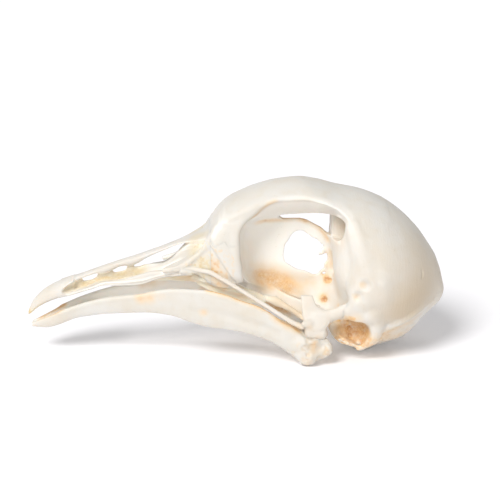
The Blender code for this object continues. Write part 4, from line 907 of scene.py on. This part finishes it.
for name, low, high, build, slot, material, spots, step in (
        ("quadrate", (5.2, 4.6, 3.0), (13.3, 9.2, 9.0), quadrate, "small_bone", small_bone, [(6.9, 8.2, 5.0, 0.5, 0.25), (8.0, 8.2, 3.6, 0.6, 0.25), (10.8, 7.6, 6.2, 0.5, 0.15)], 0.085),
        ("jugal", (-10.4, 3.0, 4.4), (6.8, 8.6, 12.2), jugal, "small_bone", small_bone, [(5.6, 7.9, 5.2, 0.6, 0.25)], 0.085),
        # the pterygoids' negative spots are painted shade
        ("pterygoid", (1.2, 0.5, 4.0), (8.2, 6.0, 7.7), pterygoid, "palate_bone", palate_bone, [(3.3, 1.8, 6.5, 1.4, -0.45), (5.6, 3.4, 5.7, 1.8, -0.6)], 0.09),
        ("palatine", (-17.2, 0.4, 5.6), (2.4, 4.2, 11.2), palatine, "palate_bone", palate_bone,
         [(-4.7, 2.9, 9.3, 0.55, 0.8), (-3.45, 3.1, 8.85, 0.6, 1.0), (-1.5, 2.4, 7.6, 1.2, 0.3), (0.8, 1.6, 6.9, 0.9, 0.2), (-8.0, 2.2, 10.2, 2.0, 0.4)], 0.09)):
    b = Bone(low, high, step)
    build(b)
    for side in ("right", "left"):
        make(f"{name}_{side}", b, stands_for=(f"{name}_{side}",), material=material, spots=spots, flip=side == "left", painted_light=inward)

# ----------------------------------------------------------- floor, light, camera
size = 3.0
floor_mesh = bpy.data.meshes.new("floor")
floor_mesh.from_pydata([(-size, -size, 0), (size, -size, 0), (size, size, 0), (-size, size, 0)], [], [(0, 1, 2, 3)])
floor_ob = bpy.data.objects.new("floor", floor_mesh)
bpy.context.scene.collection.objects.link(floor_ob)
paper = bpy.data.materials.new("floor_paper")
paper.use_nodes = True
paper.node_tree.nodes["Principled BSDF"].inputs["Base Color"].default_value = (0.93, 0.92, 0.94, 1)
paper.node_tree.nodes["Principled BSDF"].inputs["Roughness"].default_value = 0.9
paper.node_tree.nodes["Principled BSDF"].inputs["Specular IOR Level"].default_value = 0.1
paper.node_tree.nodes["Principled BSDF"].inputs["Emission Color"].default_value = (1, 1, 1, 1)
paper.node_tree.nodes["Principled BSDF"].inputs["Emission Strength"].default_value = 0.09
floor_mesh.materials.append(paper)

scene = bpy.context.scene
world = bpy.data.worlds.new("studio")
scene.world = world
world.use_nodes = True
world.node_tree.nodes["Background"].inputs["Color"].default_value = (1.0, 1.0, 1.0, 1)
world.node_tree.nodes["Background"].inputs["Strength"].default_value = 0.41


def sun(name, towards, strength, spread):
    lamp = bpy.data.lights.new(name, "SUN")
    lamp.energy = strength
    lamp.angle = math.radians(spread)
    ob = bpy.data.objects.new(name, lamp)
    ob.rotation_mode = "QUATERNION"
    ob.rotation_quaternion = Vector(towards).to_track_quat("Z", "Y")
    scene.collection.objects.link(ob)


sun("key", (-0.60, -0.88, 0.95), 2.6, 24)
sun("fill", (0.0, -1.0, 0.27), 0.3, 12)
sun("back", (-0.3, 1.0, 1.0), 0.3, 30)

AZIMUTH, ELEVATION, DISTANCE = math.radians(-3.0), math.radians(14.5), 0.185
target = Vector((CENTRE_X * MM, 0.0, 0.01288))
back = Vector((math.sin(AZIMUTH) * math.cos(ELEVATION), -math.cos(AZIMUTH) * math.cos(ELEVATION), math.sin(ELEVATION)))
camera_data = bpy.data.cameras.new("camera")
camera_data.lens, camera_data.sensor_width = 105.0, 36.0
camera_data.clip_start, camera_data.clip_end = 0.01, 10.0
camera = bpy.data.objects.new("camera", camera_data)
camera.location = target + back * DISTANCE
camera.rotation_mode = "QUATERNION"
camera.rotation_quaternion = (-back).to_track_quat("-Z", "Y")
scene.collection.objects.link(camera)
scene.camera = camera
scene.view_settings.view_transform = "Standard"
scene.view_settings.look = "None"
